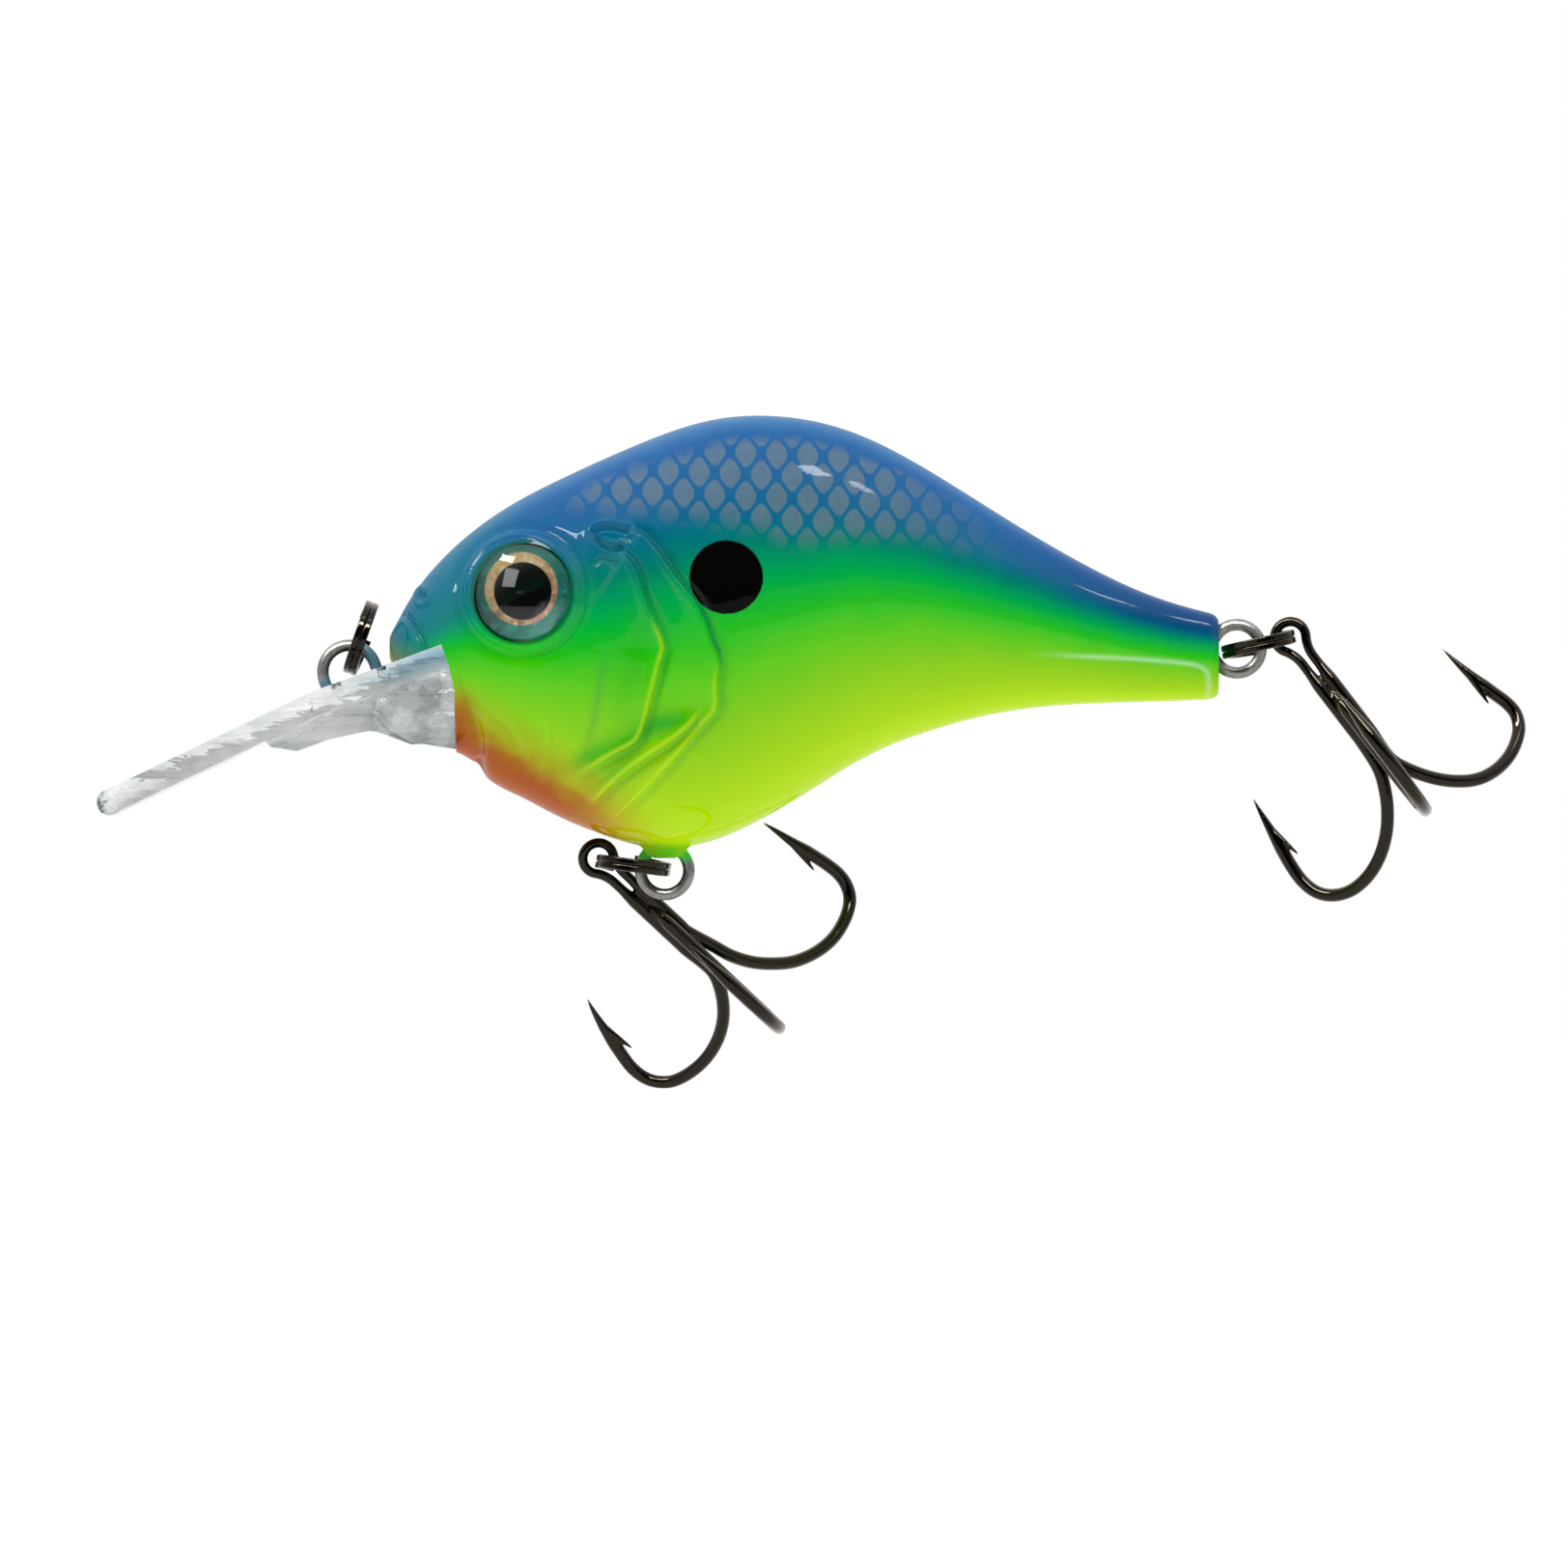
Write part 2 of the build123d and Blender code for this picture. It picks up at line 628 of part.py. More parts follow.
def gill_cover(side, outline, lift):
    """Copy of the flank grown outwards by `lift`, inside the cover outline."""
    with BuildPart() as cover:
        for x, top, bottom, half, power in GILL_STATIONS:
            add(half_section(x, top - GILL_TRIM, bottom + GILL_TRIM, half + lift, power, side))
        loft()
        with BuildSketch(side_plane((0, side, 0))):
            with BuildLine():
                Spline(*outline, periodic=True)
            make_face()
        extrude(amount=-side * 20, mode=Mode.INTERSECT)
    return cover.part


def body_half(side, cutters):
    with BuildPart() as half:
        for station in BODY:
            add(half_section(*station, side))
        loft()
        # hanger boss on the belly
        with BuildSketch(Plane(origin=(BELLY_H[0], 0, BOSS_Z), z_dir=(0, 0, 1))):
            with Locations((0, side * BOSS_HALF_WIDTH / 2)):
                Rectangle(BOSS_LENGTH, BOSS_HALF_WIDTH)
        extrude(amount=BOSS_HEIGHT)
        add(gill_cover(side, GILL_OUTER, GILL_STEP))
        add(gill_cover(side, GILL_INNER, 2 * GILL_STEP))
        # raised rim round the eye, and the socket in it
        cheek = eye_plane(side)
        with BuildSketch(cheek.offset(RIM_BASE)):
            Circle(RIM_R)
        extrude(amount=RIM_HEIGHT)
        with BuildSketch(cheek.offset(SOCKET_FLOOR)):
            Circle(SOCKET_R)
        extrude(amount=6, mode=Mode.SUBTRACT)
        for cutter in cutters:
            add(cutter, mode=Mode.SUBTRACT)
    return half.part


# ------------------------------------------------------------------ build and export
tie_wire = line_tie()
tie_ring = split_ring(TIE_RING_HINGE, TIE_RING_DIR, TIE_NEAR)
# the belly hanger's feet lie above its loop, the tail hanger's in front of its loop
belly_hanger = hanger(BELLY_H, x_dir=(1, 0, 0), foot_depth=4.75, foot=3.0)
tail_hanger = hanger(TAIL_H, x_dir=(0, 0, 1), foot_depth=9.0, foot=1.9)

belly_double, belly_single = treble(
    eye=far_wire(BELLY_H, BELLY_RING_DIR, BELLY_NEAR, offset=(-0.04, 0.03)),
    direction=(0.731, -0.683),
    tilt_deg=13.0,
    side_shift=0.50,
)
tail_double, tail_single = treble(
    eye=far_wire(TAIL_H, TAIL_RING_DIR, TAIL_NEAR, offset=(-0.22, 0.17)),
    direction=(0.604, -0.797),
    tilt_deg=-9.0,
    side_shift=-0.10,
)

body_cutters = (
    cavity_solid(), ball_chambers(), mouth_space(), tang_slot(),
    belly_hanger, tail_hanger, tie_ring,
)

pieces = {
    "left_body_shell": body_half(-1, body_cutters),
    "right_body_shell": body_half(1, body_cutters),
    "diving_lip": make_lip(tie_wire),
    "line_tie_wire": tie_wire,
    "line_tie_split_ring": tie_ring,
    "belly_hanger_wire": belly_hanger,
    "belly_split_ring": split_ring(BELLY_H, BELLY_RING_DIR, BELLY_NEAR),
    "belly_treble_double": belly_double,
    "belly_treble_single": belly_single,
    "tail_hanger_wire": tail_hanger,
    "tail_split_ring": split_ring(TAIL_H, TAIL_RING_DIR, TAIL_NEAR),
    "tail_treble_double": tail_double,
    "tail_treble_single": tail_single,
    "left_eye_foil": eye_foil(-1),
    "left_eye_lens": eye_lens(-1),
    "right_eye_foil": eye_foil(1),
    "right_eye_lens": eye_lens(1),
    "belly_ballast_ball": ball(BALLAST_D, BALLAST_C),
    "head_rattle_ball": ball(HEAD_RATTLE_D, HEAD_RATTLE_C),
    "shoulder_rattle_ball": ball(*SHOULDER_RATTLE[:2]),
    "tail_rattle_ball": ball(*TAIL_RATTLE[:2]),
}

for name, shape in pieces.items():
    with BuildPart() as piece:
        add(shape)
    piece.part.label = name
    export_step(piece.part, f"parts/{name}.step")
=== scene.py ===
"""A lipped fishing lure: painted hollow body, clear diving lip, glass eyes, two treble hooks.

Nose at -X, tail at +X, back at +Z; the fish's left flank faces -Y, towards the camera.
Lengths are mm unless a name or comment says otherwise; meshes are stored in metres.
"""

import json
import math
from contextlib import contextmanager

import bmesh
import bpy
import numpy as np
from mathutils import Matrix, Vector


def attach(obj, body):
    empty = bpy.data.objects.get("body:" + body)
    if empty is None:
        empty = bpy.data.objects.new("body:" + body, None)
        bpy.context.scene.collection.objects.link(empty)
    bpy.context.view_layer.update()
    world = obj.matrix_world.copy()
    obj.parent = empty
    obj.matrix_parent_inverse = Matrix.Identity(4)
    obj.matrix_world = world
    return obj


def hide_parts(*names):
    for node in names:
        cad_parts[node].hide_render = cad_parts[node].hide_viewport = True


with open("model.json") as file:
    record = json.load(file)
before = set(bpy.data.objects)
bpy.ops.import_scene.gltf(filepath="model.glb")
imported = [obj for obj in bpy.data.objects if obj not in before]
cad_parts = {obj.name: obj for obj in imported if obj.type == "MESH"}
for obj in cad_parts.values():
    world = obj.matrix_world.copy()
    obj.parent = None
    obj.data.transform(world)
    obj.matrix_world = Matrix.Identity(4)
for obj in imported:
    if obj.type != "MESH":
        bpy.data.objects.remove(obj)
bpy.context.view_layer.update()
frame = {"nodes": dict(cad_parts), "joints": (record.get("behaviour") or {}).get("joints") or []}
NODES = frame["nodes"]
MM = 0.001


# ------------------------------------------------------------------ mesh helpers
def add_object(name, mesh):
    ob = bpy.data.objects.new(name, mesh)
    bpy.context.scene.collection.objects.link(ob)
    return ob


def shade_smooth(mesh):
    mesh.polygons.foreach_set("use_smooth", [True] * len(mesh.polygons))


def new_mesh(name, verts, faces, smooth=True):
    """Object from vertices in metres, with its normals turned outwards."""
    mesh = bpy.data.meshes.new(name)
    mesh.from_pydata([tuple(v) for v in verts], [], [tuple(int(i) for i in f) for f in faces])
    mesh.validate()
    mesh.update()
    ob = add_object(name, mesh)
    if smooth:
        shade_smooth(mesh)
    with editing(ob) as bm:
        bmesh.ops.recalc_face_normals(bm, faces=bm.faces)
    return ob


@contextmanager
def editing(ob):
    bm = bmesh.new()
    bm.from_mesh(ob.data)
    yield bm
    bm.to_mesh(ob.data)
    bm.free()


def sharpen(ob, limit_deg):
    """Smooth shading everywhere, with a hard edge wherever faces meet at more than the limit."""
    limit = math.radians(limit_deg)
    with editing(ob) as bm:
        for face in bm.faces:
            face.smooth = True
        for edge in bm.edges:
            edge.smooth = not (len(edge.link_faces) == 2 and edge.calc_face_angle(0) > limit)


def clean(ob, dist=2e-6):
    """Merge points closer than dist (metres) and drop slivers and loose points."""
    with editing(ob) as bm:
        bmesh.ops.remove_doubles(bm, verts=bm.verts, dist=dist)
        bmesh.ops.dissolve_degenerate(bm, dist=dist, edges=bm.edges)
        loose = [v for v in bm.verts if not v.link_faces]
        bmesh.ops.delete(bm, geom=loose, context="VERTS")


def apply_modifiers(ob):
    bpy.context.view_layer.update()
    graph = bpy.context.evaluated_depsgraph_get()
    mesh = bpy.data.meshes.new_from_object(ob.evaluated_get(graph))
    ob.modifiers.clear()
    old = ob.data
    ob.data = mesh
    bpy.data.meshes.remove(old)


def boolean(ob, cutter, operation="DIFFERENCE"):
    """Cut or join with another object, which is used up."""
    mod = ob.modifiers.new("boolean", "BOOLEAN")
    mod.operation = operation
    mod.solver = "EXACT"
    mod.object = cutter
    apply_modifiers(ob)
    bpy.data.objects.remove(cutter)


def copy_node(name, new_name):
    ob = add_object(new_name, NODES[name].data.copy())
    ob.data.materials.clear()
    return ob


def prism(name, outline, y0, y1):
    """Closed prism: an outline of (x, z), extruded from y0 to y1."""
    n = len(outline)
    verts = [(x * MM, y * MM, z * MM) for y in (y0, y1) for x, z in outline]
    faces = [tuple(range(n)), tuple(range(2 * n - 1, n - 1, -1))]
    faces += [(i, (i + 1) % n, n + (i + 1) % n, n + i) for i in range(n)]
    return new_mesh(name, verts, faces, smooth=False)


# ------------------------------------------------------------------ curves and fades
def catmull(knots, steps):
    """Catmull-Rom curve through the knots, with this many steps a span."""
    p = np.array(knots, float)
    out = []
    for i in range(len(p) - 1):
        b, c = p[i], p[i + 1]
        a = p[i - 1] if i else 2 * b - c
        d = p[i + 2] if i + 2 < len(p) else 2 * c - b
        for k in range(steps):
            t = k / steps
            out.append(0.5 * (
                2 * b
                + (c - a) * t
                + (2 * a - 5 * b + 4 * c - d) * t * t
                + (3 * b - a - 3 * c + d) * t**3
            ))
    out.append(p[-1])
    return np.array(out)


def monotone_cubic(x, y, q):
    """Shape-preserving cubic through (x, y), read at q."""
    h = np.diff(x)
    s = np.diff(y) / h
    d = np.zeros_like(y)
    for i in range(1, len(x) - 1):
        if s[i - 1] * s[i] > 0:
            w1, w2 = 2 * h[i] + h[i - 1], h[i] + 2 * h[i - 1]
            d[i] = (w1 + w2) / (w1 / s[i - 1] + w2 / s[i])
    d[0], d[-1] = s[0], s[-1]
    i = np.clip(np.searchsorted(x, q) - 1, 0, len(h) - 1)
    t = (q - x[i]) / h[i]
    return (
        (2 * t**3 - 3 * t**2 + 1) * y[i]
        + (t**3 - 2 * t**2 + t) * h[i] * d[i]
        + (-2 * t**3 + 3 * t**2) * y[i + 1]
        + (t**3 - t**2) * h[i] * d[i + 1]
    )


def natural_cubic(x, y, q):
    """Natural cubic spline through (x, y), read at q: smoother, for evenly spaced stations."""
    n = len(x)
    h = np.diff(x)
    A = np.zeros((n, n))
    r = np.zeros(n)
    A[0, 0] = A[-1, -1] = 1
    for i in range(1, n - 1):
        A[i, i - 1], A[i, i], A[i, i + 1] = h[i - 1], 2 * (h[i - 1] + h[i]), h[i]
        r[i] = 6 * ((y[i + 1] - y[i]) / h[i] - (y[i] - y[i - 1]) / h[i - 1])
    m = np.linalg.solve(A, r)
    i = np.clip(np.searchsorted(x, q) - 1, 0, n - 2)
    a, b = x[i + 1] - q, q - x[i]
    return (
        m[i] * a**3 / (6 * h[i])
        + m[i + 1] * b**3 / (6 * h[i])
        + (y[i] / h[i] - m[i] * h[i] / 6) * a
        + (y[i + 1] / h[i] - m[i + 1] * h[i] / 6) * b
    )


def smooth01(a):
    a = np.clip(a, 0, 1)
    return a * a * (3 - 2 * a)


def bell(value, centre, width):
    return np.exp(-(((value - centre) / width) ** 2))


def fade_ends(run, start, end):
    """Fade in over the first part of a run from 0 to 1, and out over its last part."""
    return smooth01(run / start) * smooth01((1 - run) / end)


def polyline_distance(X, Z, line):
    """Distance to a line, distance signed + on the right of travel, and run along it, 0 to 1.

    The right of travel is the head side of a line running down, the belly side of one
    running back.
    """
    best = np.full(X.shape, 1e9)
    left = np.zeros(X.shape)
    run = np.zeros(X.shape)
    length = 0.0
    for (x0, z0), (x1, z1) in zip(line[:-1], line[1:]):
        dx, dz = x1 - x0, z1 - z0
        length2 = dx * dx + dz * dz
        t = np.clip(((X - x0) * dx + (Z - z0) * dz) / length2, 0, 1)
        dist = np.hypot(X - (x0 + t * dx), Z - (z0 + t * dz))
        cross = dx * (Z - z0) - dz * (X - x0)
        nearer = dist < best
        best = np.where(nearer, dist, best)
        left = np.where(nearer, np.sign(cross), left)
        run = np.where(nearer, length + t * math.sqrt(length2), run)
        length += math.sqrt(length2)
    return best, best * -left, run / length


# ------------------------------------------------------------------ body tables
# stations: x, top z, bottom z, half width, exponent of the superellipse section
BODY = np.array([
    (3.42, 2.95, 1.15, 1.00, 2.0),
    (3.60, 3.38, 0.67, 1.70, 2.0),
    (4.20, 4.50, -2.50, 2.80, 2.0),
    (5.00, 5.95, -4.31, 3.80, 2.0),
    (6.20, 7.67, -5.54, 4.85, 2.05),
    (7.80, 9.50, -6.33, 5.95, 2.1),
    (9.80, 11.38, -7.15, 6.95, 2.1),
    (12.20, 13.20, -9.20, 7.95, 2.15),
    (15.00, 14.90, -10.83, 8.80, 2.15),
    (18.00, 16.41, -12.39, 9.50, 2.15),
    (21.50, 18.03, -13.81, 10.05, 2.15),
    (25.00, 19.53, -14.82, 10.35, 2.15),
    (28.50, 20.81, -14.85, 10.35, 2.15),
    (32.00, 21.59, -13.90, 10.05, 2.15),
    (35.50, 21.75, -12.20, 9.50, 2.15),
    (39.00, 21.37, -10.14, 8.75, 2.15),
    (42.50, 20.43, -7.95, 7.95, 2.15),
    (46.00, 18.88, -6.19, 7.10, 2.15),
    (49.50, 16.91, -4.93, 6.30, 2.15),
    (53.00, 14.74, -3.94, 5.55, 2.2),
    (56.50, 12.55, -3.26, 4.90, 2.25),
    (60.00, 10.46, -2.85, 4.30, 2.3),
    (63.50, 8.55, -2.65, 3.80, 2.4),
    (67.00, 6.91, -2.55, 3.35, 2.6),
    (70.50, 5.68, -2.44, 3.00, 2.8),
    (73.77, 4.82, -2.25, 2.75, 3.0),
])
NOSE_X, TAIL_X = BODY[0, 0], BODY[-1, 0]
WALL = 1.6
TAIL_ROUND = 0.75
EYE = (14.80, 6.68)  # x, z
EYE_Y = 8.30  # the flank's distance from the joint plane at the eye
NOSTRIL = (6.230, 6.393)  # x, z

# moulded lines of the flank in side view: x, z
GILL_COVER = catmull([
    (23.443, 12.213), (24.426, 11.803), (25.410, 11.148), (26.557, 9.754), (27.541, 8.279),
    (28.443, 7.131), (29.344, 5.984), (30.164, 4.344), (30.738, 2.623), (31.230, 1.475),
    (31.393, 0.492), (31.230, -0.492), (31.148, -1.475), (31.230, -2.459), (30.984, -3.443),
    (30.082, -4.426), (28.279, -6.475), (26.721, -8.279), (24.016, -11.066), (22.295, -13.115)], 6)
INNER_GILL = catmull([
    (22.295, 10.246), (23.279, 9.918), (24.016, 9.180), (24.590, 8.115), (25.246, 5.984),
    (25.984, 4.180), (26.639, 2.623), (26.721, 1.803), (26.475, 0.984), (26.148, -0.328),
    (25.820, -1.639), (25.328, -3.607), (24.836, -5.082), (24.262, -5.984), (22.213, -7.131),
    (18.689, -9.262)], 6)
GILL_BRANCH = catmull([
    (29.836, -3.443), (28.852, -4.590), (27.213, -5.902), (25.082, -7.295), (23.115, -8.770),
    (21.639, -10.164), (20.492, -11.475)], 6)
CHEEK = catmull([
    (21.967, 2.295), (21.475, -0.328), (20.984, -3.279), (20.492, -5.410), (19.754, -7.705)], 6)
GILL_LOOP = catmull([
    (23.197, 10.492), (22.459, 10.328), (21.639, 10.656), (20.984, 11.230), (20.902, 11.803),
    (21.475, 12.131), (22.459, 12.131), (23.607, 11.885)], 6)
GILL_BAR = catmull([(20.902, 9.180), (21.230, 9.508), (21.803, 9.508), (22.541, 9.180)], 4)
TAIL_PANEL = catmull([
    (57.213, 1.557), (62.131, 1.311), (67.049, 1.066), (70.738, 0.738), (72.213, 0.410),
    (72.787, -0.246), (72.869, -1.311), (72.787, -2.787)], 6)
JAW = catmull([
    (9.180, 0.492), (9.672, -1.311), (10.246, -3.197), (10.820, -5.000), (11.066, -6.475),
    (10.820, -7.705)], 6)
JAW_BRANCH = catmull([
    (9.672, -1.475), (10.820, -2.623), (12.131, -3.689), (13.279, -4.590), (14.016, -5.574),
    (14.426, -6.885), (14.344, -8.197)], 6)
SNOUT_CREASE = catmull([
    (3.934, 5.574), (4.590, 4.836), (5.410, 3.934), (6.066, 2.951), (6.475, 1.967)], 6)
THROAT_BEAD = catmull([(16.967, -4.098), (17.131, -5.656), (16.885, -7.705), (16.393, -9.016)], 4)

# line of the lip's upper face: x, z
LIP_TOP = [(-20.4, -10.0), (-12.1, -6.06), (-2.62, -1.56), (7.87, 2.30), (14.5, 4.73)]
LIP_ROOT = LIP_TOP[3]
LIP_SLOPE = 0.368  # rise of the upper face around the root


def lip_z(x):
    return float(np.interp(x, *zip(*LIP_TOP)))


def lip_band(x0, x1, top, bottom):
    """Outline of a strip along the lip, from z offsets to its upper face."""
    z0, z1 = lip_z(x0), lip_z(x1)
    return [(x0, z0 + top), (x1, z1 + top), (x1, z1 + bottom), (x0, z0 + bottom)]


# outlines of the parts cut from or joined to the shells: x, z
MOUTH = [(x, lip_z(x)) for x in (-8, 3.0, LIP_ROOT[0])] + [
    (8.20, 1.50), (8.52, 0.49), (8.80, -0.6), (9.00, -1.56), (9.08, -3.0), (9.10, -4.6),
    (9.02, -12.0), (-8, -12.0)]
TANG_SLOT = lip_band(6.6, 14.62, 0.03, -2.17)
HANGER_BOSS = [(24.0, -14.0), (24.8, -14.9), (25.3, -15.5), (25.9, -15.8), (27.6, -15.8),
               (28.3, -15.5), (28.8, -14.9), (29.5, -14.0)]
BOSS_HALF, SLOT_HALF, MOUTH_HALF = 1.55, 3.25, 16  # half widths in y
# eye socket: radii at the bottom and outer end, cutter length, floor below the flank
SOCKET_FLOOR_R, SOCKET_MOUTH_R, SOCKET_LENGTH, SOCKET_DEPTH = 4.2, 4.42, 4.4, 1.50


# ------------------------------------------------------------------ flank relief
def ridge(X, Z, line, lift, reach, groove, fade_in, fade_out):
    """A plate edge: the head side stands over the flank and falls off forward."""
    _, ahead, run = polyline_distance(X, Z, line)
    h = lift * smooth01((ahead + 0.16) / 0.30) * np.exp(-np.clip(ahead, 0, 99) / reach)
    h += 0.22 * lift * bell(ahead, 0.38, 0.26)
    h -= groove * bell(ahead, -0.36, 0.34)
    return h * fade_ends(run, fade_in, fade_out)


def relief(X, Z):
    """Height of the moulded detail over the smooth flank, in side view."""
    h = np.zeros_like(X)
    h += ridge(X, Z, GILL_COVER, lift=0.56, reach=2.6, groove=0.18, fade_in=0.06, fade_out=0.10)
    h += ridge(X, Z, INNER_GILL, lift=0.50, reach=1.9, groove=0.20, fade_in=0.08, fade_out=0.10)
    h += ridge(X, Z, GILL_BRANCH, lift=0.46, reach=1.0, groove=0.26, fade_in=0.10, fade_out=0.12)
    # flat panel low on the tail root
    _, below, run = polyline_distance(X, Z, TAIL_PANEL)
    panel = 0.10 * smooth01(run / 0.25) * smooth01((below + 0.10) / 0.22)
    h += panel * np.exp(-np.clip(below, 0, 99) / 1.6)
    # soft fold in front of the gill cover, steeper on its head side
    dist, ahead, run = polyline_distance(X, Z, CHEEK)
    fold = 0.20 * fade_ends(run, 0.25, 0.25) * smooth01((0.3 - ahead) / 0.6)
    h -= fold * bell(dist, 0, 1.1)
    # small grooves at the top of the gill cover
    dist, _, _ = polyline_distance(X, Z, GILL_LOOP)
    h -= 0.24 * bell(dist, 0, 0.22)
    h += 0.14 * bell(dist, 0.46, 0.20)
    dist, _, _ = polyline_distance(X, Z, GILL_BAR)
    h -= 0.22 * bell(dist, 0, 0.24)
    # jaw creases, the first with a soft hollow behind it
    dist, ahead, run = polyline_distance(X, Z, JAW)
    h -= 0.34 * smooth01(run / 0.2) * bell(dist, 0, 0.32)
    h -= 0.22 * smooth01(run / 0.2) * smooth01(-ahead / 0.5) * np.exp(-dist / 1.5)
    dist, _, run = polyline_distance(X, Z, JAW_BRANCH)
    h -= 0.20 * fade_ends(run, 0.3, 0.2) * bell(dist, 0, 0.36)
    dist, _, _ = polyline_distance(X, Z, THROAT_BEAD)
    h += 0.12 * bell(dist, 0, 0.25)
    dist, _, _ = polyline_distance(X, Z, SNOUT_CREASE)
    h -= 0.30 * bell(dist, 0, 0.26)
    # nostril: a pit in a raised oval rim
    radius = np.hypot((X - NOSTRIL[0]) * 0.9, (Z - NOSTRIL[1]) * 0.75)
    h += 0.20 * bell(radius, 0.52, 0.2) - 0.30 * bell(radius, 0, 0.30)
    # raised rim of the eye socket, and a level seat for the socket to cut
    radius = np.hypot(X - EYE[0] - 0.02, Z - EYE[1] - 0.05)
    h += 0.50 * bell(radius, 4.62, 0.36)
    h -= 0.16 * bell(radius, 5.5, 0.45)
    return np.where(radius < 4.45, 0.42, h)


# ------------------------------------------------------------------ body shells
def blended(column, q, start, length):
    """A column of BODY at q: shape-preserving near the nose, smoother behind it."""
    near = monotone_cubic(BODY[:, 0], BODY[:, column], q)
    far = natural_cubic(BODY[:, 0], BODY[:, column], q)
    weight = smooth01((q - start) / length)
    return near * (1 - weight) + far * weight


def outline(q):
    """Top and bottom of the body in side view at x = q."""
    return blended(1, q, 8, 6), blended(2, q, 14, 5)


def section(middle, half_height, half_width, power, angle):
    """y and z round a superellipse half section, from the top at angle 0 to the bottom."""
    c, s = np.cos(angle), np.sin(angle)
    y = half_width * np.abs(s) ** (2 / power)
    return y, middle + half_height * np.sign(c) * np.abs(c) ** (2 / power)


def paint_attributes(ob):
    """Where each vertex lies on the flank, and the painted shade and painted highlight lines along
    the gill edges, the cheek and the tail panel.
    """
    mesh = ob.data
    co = np.zeros(len(mesh.vertices) * 3, np.float32)
    mesh.vertices.foreach_get("co", co)
    X, _, Z = (co.reshape(-1, 3).astype(float) * 1000).T
    top, bottom = outline(np.clip(X, NOSE_X, TAIL_X))
    level = (Z - bottom) / np.maximum(top - bottom, 0.1)
    # painted shade and painted highlight, as strengths at each vertex
    painted_shade = np.zeros_like(X)
    light = np.zeros_like(X)
    # line, run at which its painted-shade upper part turns to painted highlight, strength of the
    # shade and of the highlight
    for line, turn, shade_amount, highlight_amount in (
        (GILL_COVER, 0.46, 1.0, 0.75),
        (INNER_GILL, 0.28, 0.6, 0.9),
        (GILL_BRANCH, 0.0, 0.0, 0.9),
    ):
        _, ahead, run = polyline_distance(X, Z, line)
        upper = smooth01((turn + 0.05 - run) / 0.10) * smooth01(run / 0.10)
        lower = smooth01((run - turn + 0.02) / 0.10) * smooth01((1 - run) / 0.15)
        # painted shade just behind the upper part of each edge and faintly behind its lower part,
        # painted highlight on the lower part's crest
        painted_shade = np.maximum(painted_shade, shade_amount * upper * bell(ahead, -0.20, 0.17))
        painted_shade = np.maximum(painted_shade, 0.16 * lower * bell(ahead, -0.42, 0.34))
        light = np.maximum(light, highlight_amount * lower * bell(ahead, 0.14, 0.19))
    # painted shade in the small groove at the top of the gill cover
    dist, _, _ = polyline_distance(X, Z, GILL_LOOP)
    painted_shade = np.maximum(painted_shade, 0.45 * bell(dist, 0, 0.22))
    # painted shade along the cheek fold
    dist, _, run = polyline_distance(X, Z, CHEEK)
    painted_shade = np.maximum(painted_shade, 0.25 * fade_ends(run, 0.2, 0.3) * bell(dist, 0, 0.5))
    # painted highlight along the edge of the tail panel
    dist, _, run = polyline_distance(X, Z, TAIL_PANEL)
    tail_highlight = fade_ends(run, 0.35, 0.08) * bell(dist, 0, 0.20)
    for name, values in (("paint_t", level), ("painted_shade_line", painted_shade), ("painted_highlight_line", light),
                         ("painted_tail_highlight", tail_highlight)):
        attribute = mesh.attributes.new(name, "FLOAT", "POINT")
        attribute.data.foreach_set("value", values.astype(np.float32))


def body_grid(side, rows, columns):
    """Points of one half's outer skin: rows along x, columns from back to belly."""
    q = np.linspace(NOSE_X, TAIL_X, 4001)
    top, bottom = outline(q)
    half = blended(3, q, 8, 6)
    power = monotone_cubic(BODY[:, 0], BODY[:, 4], q)
    # chin notch under the jaw crease, and a fuller throat behind it
    throat = 0.22 * smooth01((q - 11.0) / 0.9) * smooth01((15.5 - q) / 4.0)
    bottom = bottom + 0.28 * bell(q, 10.9, 0.42) - throat
    # rounded tail face
    into = np.clip((q - (TAIL_X - TAIL_ROUND)) / TAIL_ROUND, 0, 1)
    inset = TAIL_ROUND * (1 - np.sqrt(1 - into**2)) * 0.8
    top, bottom, half = top - inset, bottom + inset, half - inset
    # rows crowd together where the outline is steep
    steep = (np.gradient(top, q) ** 2 + np.gradient(half, q) ** 2
             + 0.25 * np.gradient(bottom, q) ** 2)
    density = np.sqrt(1 + np.minimum(steep, 60))
    total = np.concatenate([[0], np.cumsum((density[1:] + density[:-1]) / 2)])
    xs = np.interp(np.linspace(0, total[-1], rows), total, q)
    T, B, H, P = (np.interp(xs, q, a) for a in (top, bottom, half, power))
    angle = np.linspace(0, math.pi, 721)
    pts = np.zeros((rows, columns, 3))
    for i in range(rows):
        y, z = section((T[i] + B[i]) / 2, (T[i] - B[i]) / 2, H[i], P[i], angle)
        y[0] = y[-1] = 0
        girth = np.concatenate([[0], np.cumsum(np.hypot(np.diff(y), np.diff(z)))])
        even = np.linspace(0, girth[-1], columns)
        pts[i, :, 0] = xs[i]
        pts[i, :, 1] = np.interp(even, girth, y)
        pts[i, :, 2] = np.interp(even, girth, z)
    normal = np.cross(np.gradient(pts, axis=0), np.gradient(pts, axis=1))
    normal /= np.linalg.norm(normal, axis=2, keepdims=True) + 1e-12
    normal *= np.where((normal[:, columns // 2, 1] < 0)[:, None, None], -1, 1)
    height = relief(pts[:, :, 0], pts[:, :, 2])
    fade = smooth01(pts[:, :, 1] / 1.2)  # nothing moves on the joint plane
    out = pts + normal * (height * fade)[:, :, None]
    out[:, 0, 1] = out[:, -1, 1] = 0
    out[:, :, 1] *= side
    return out


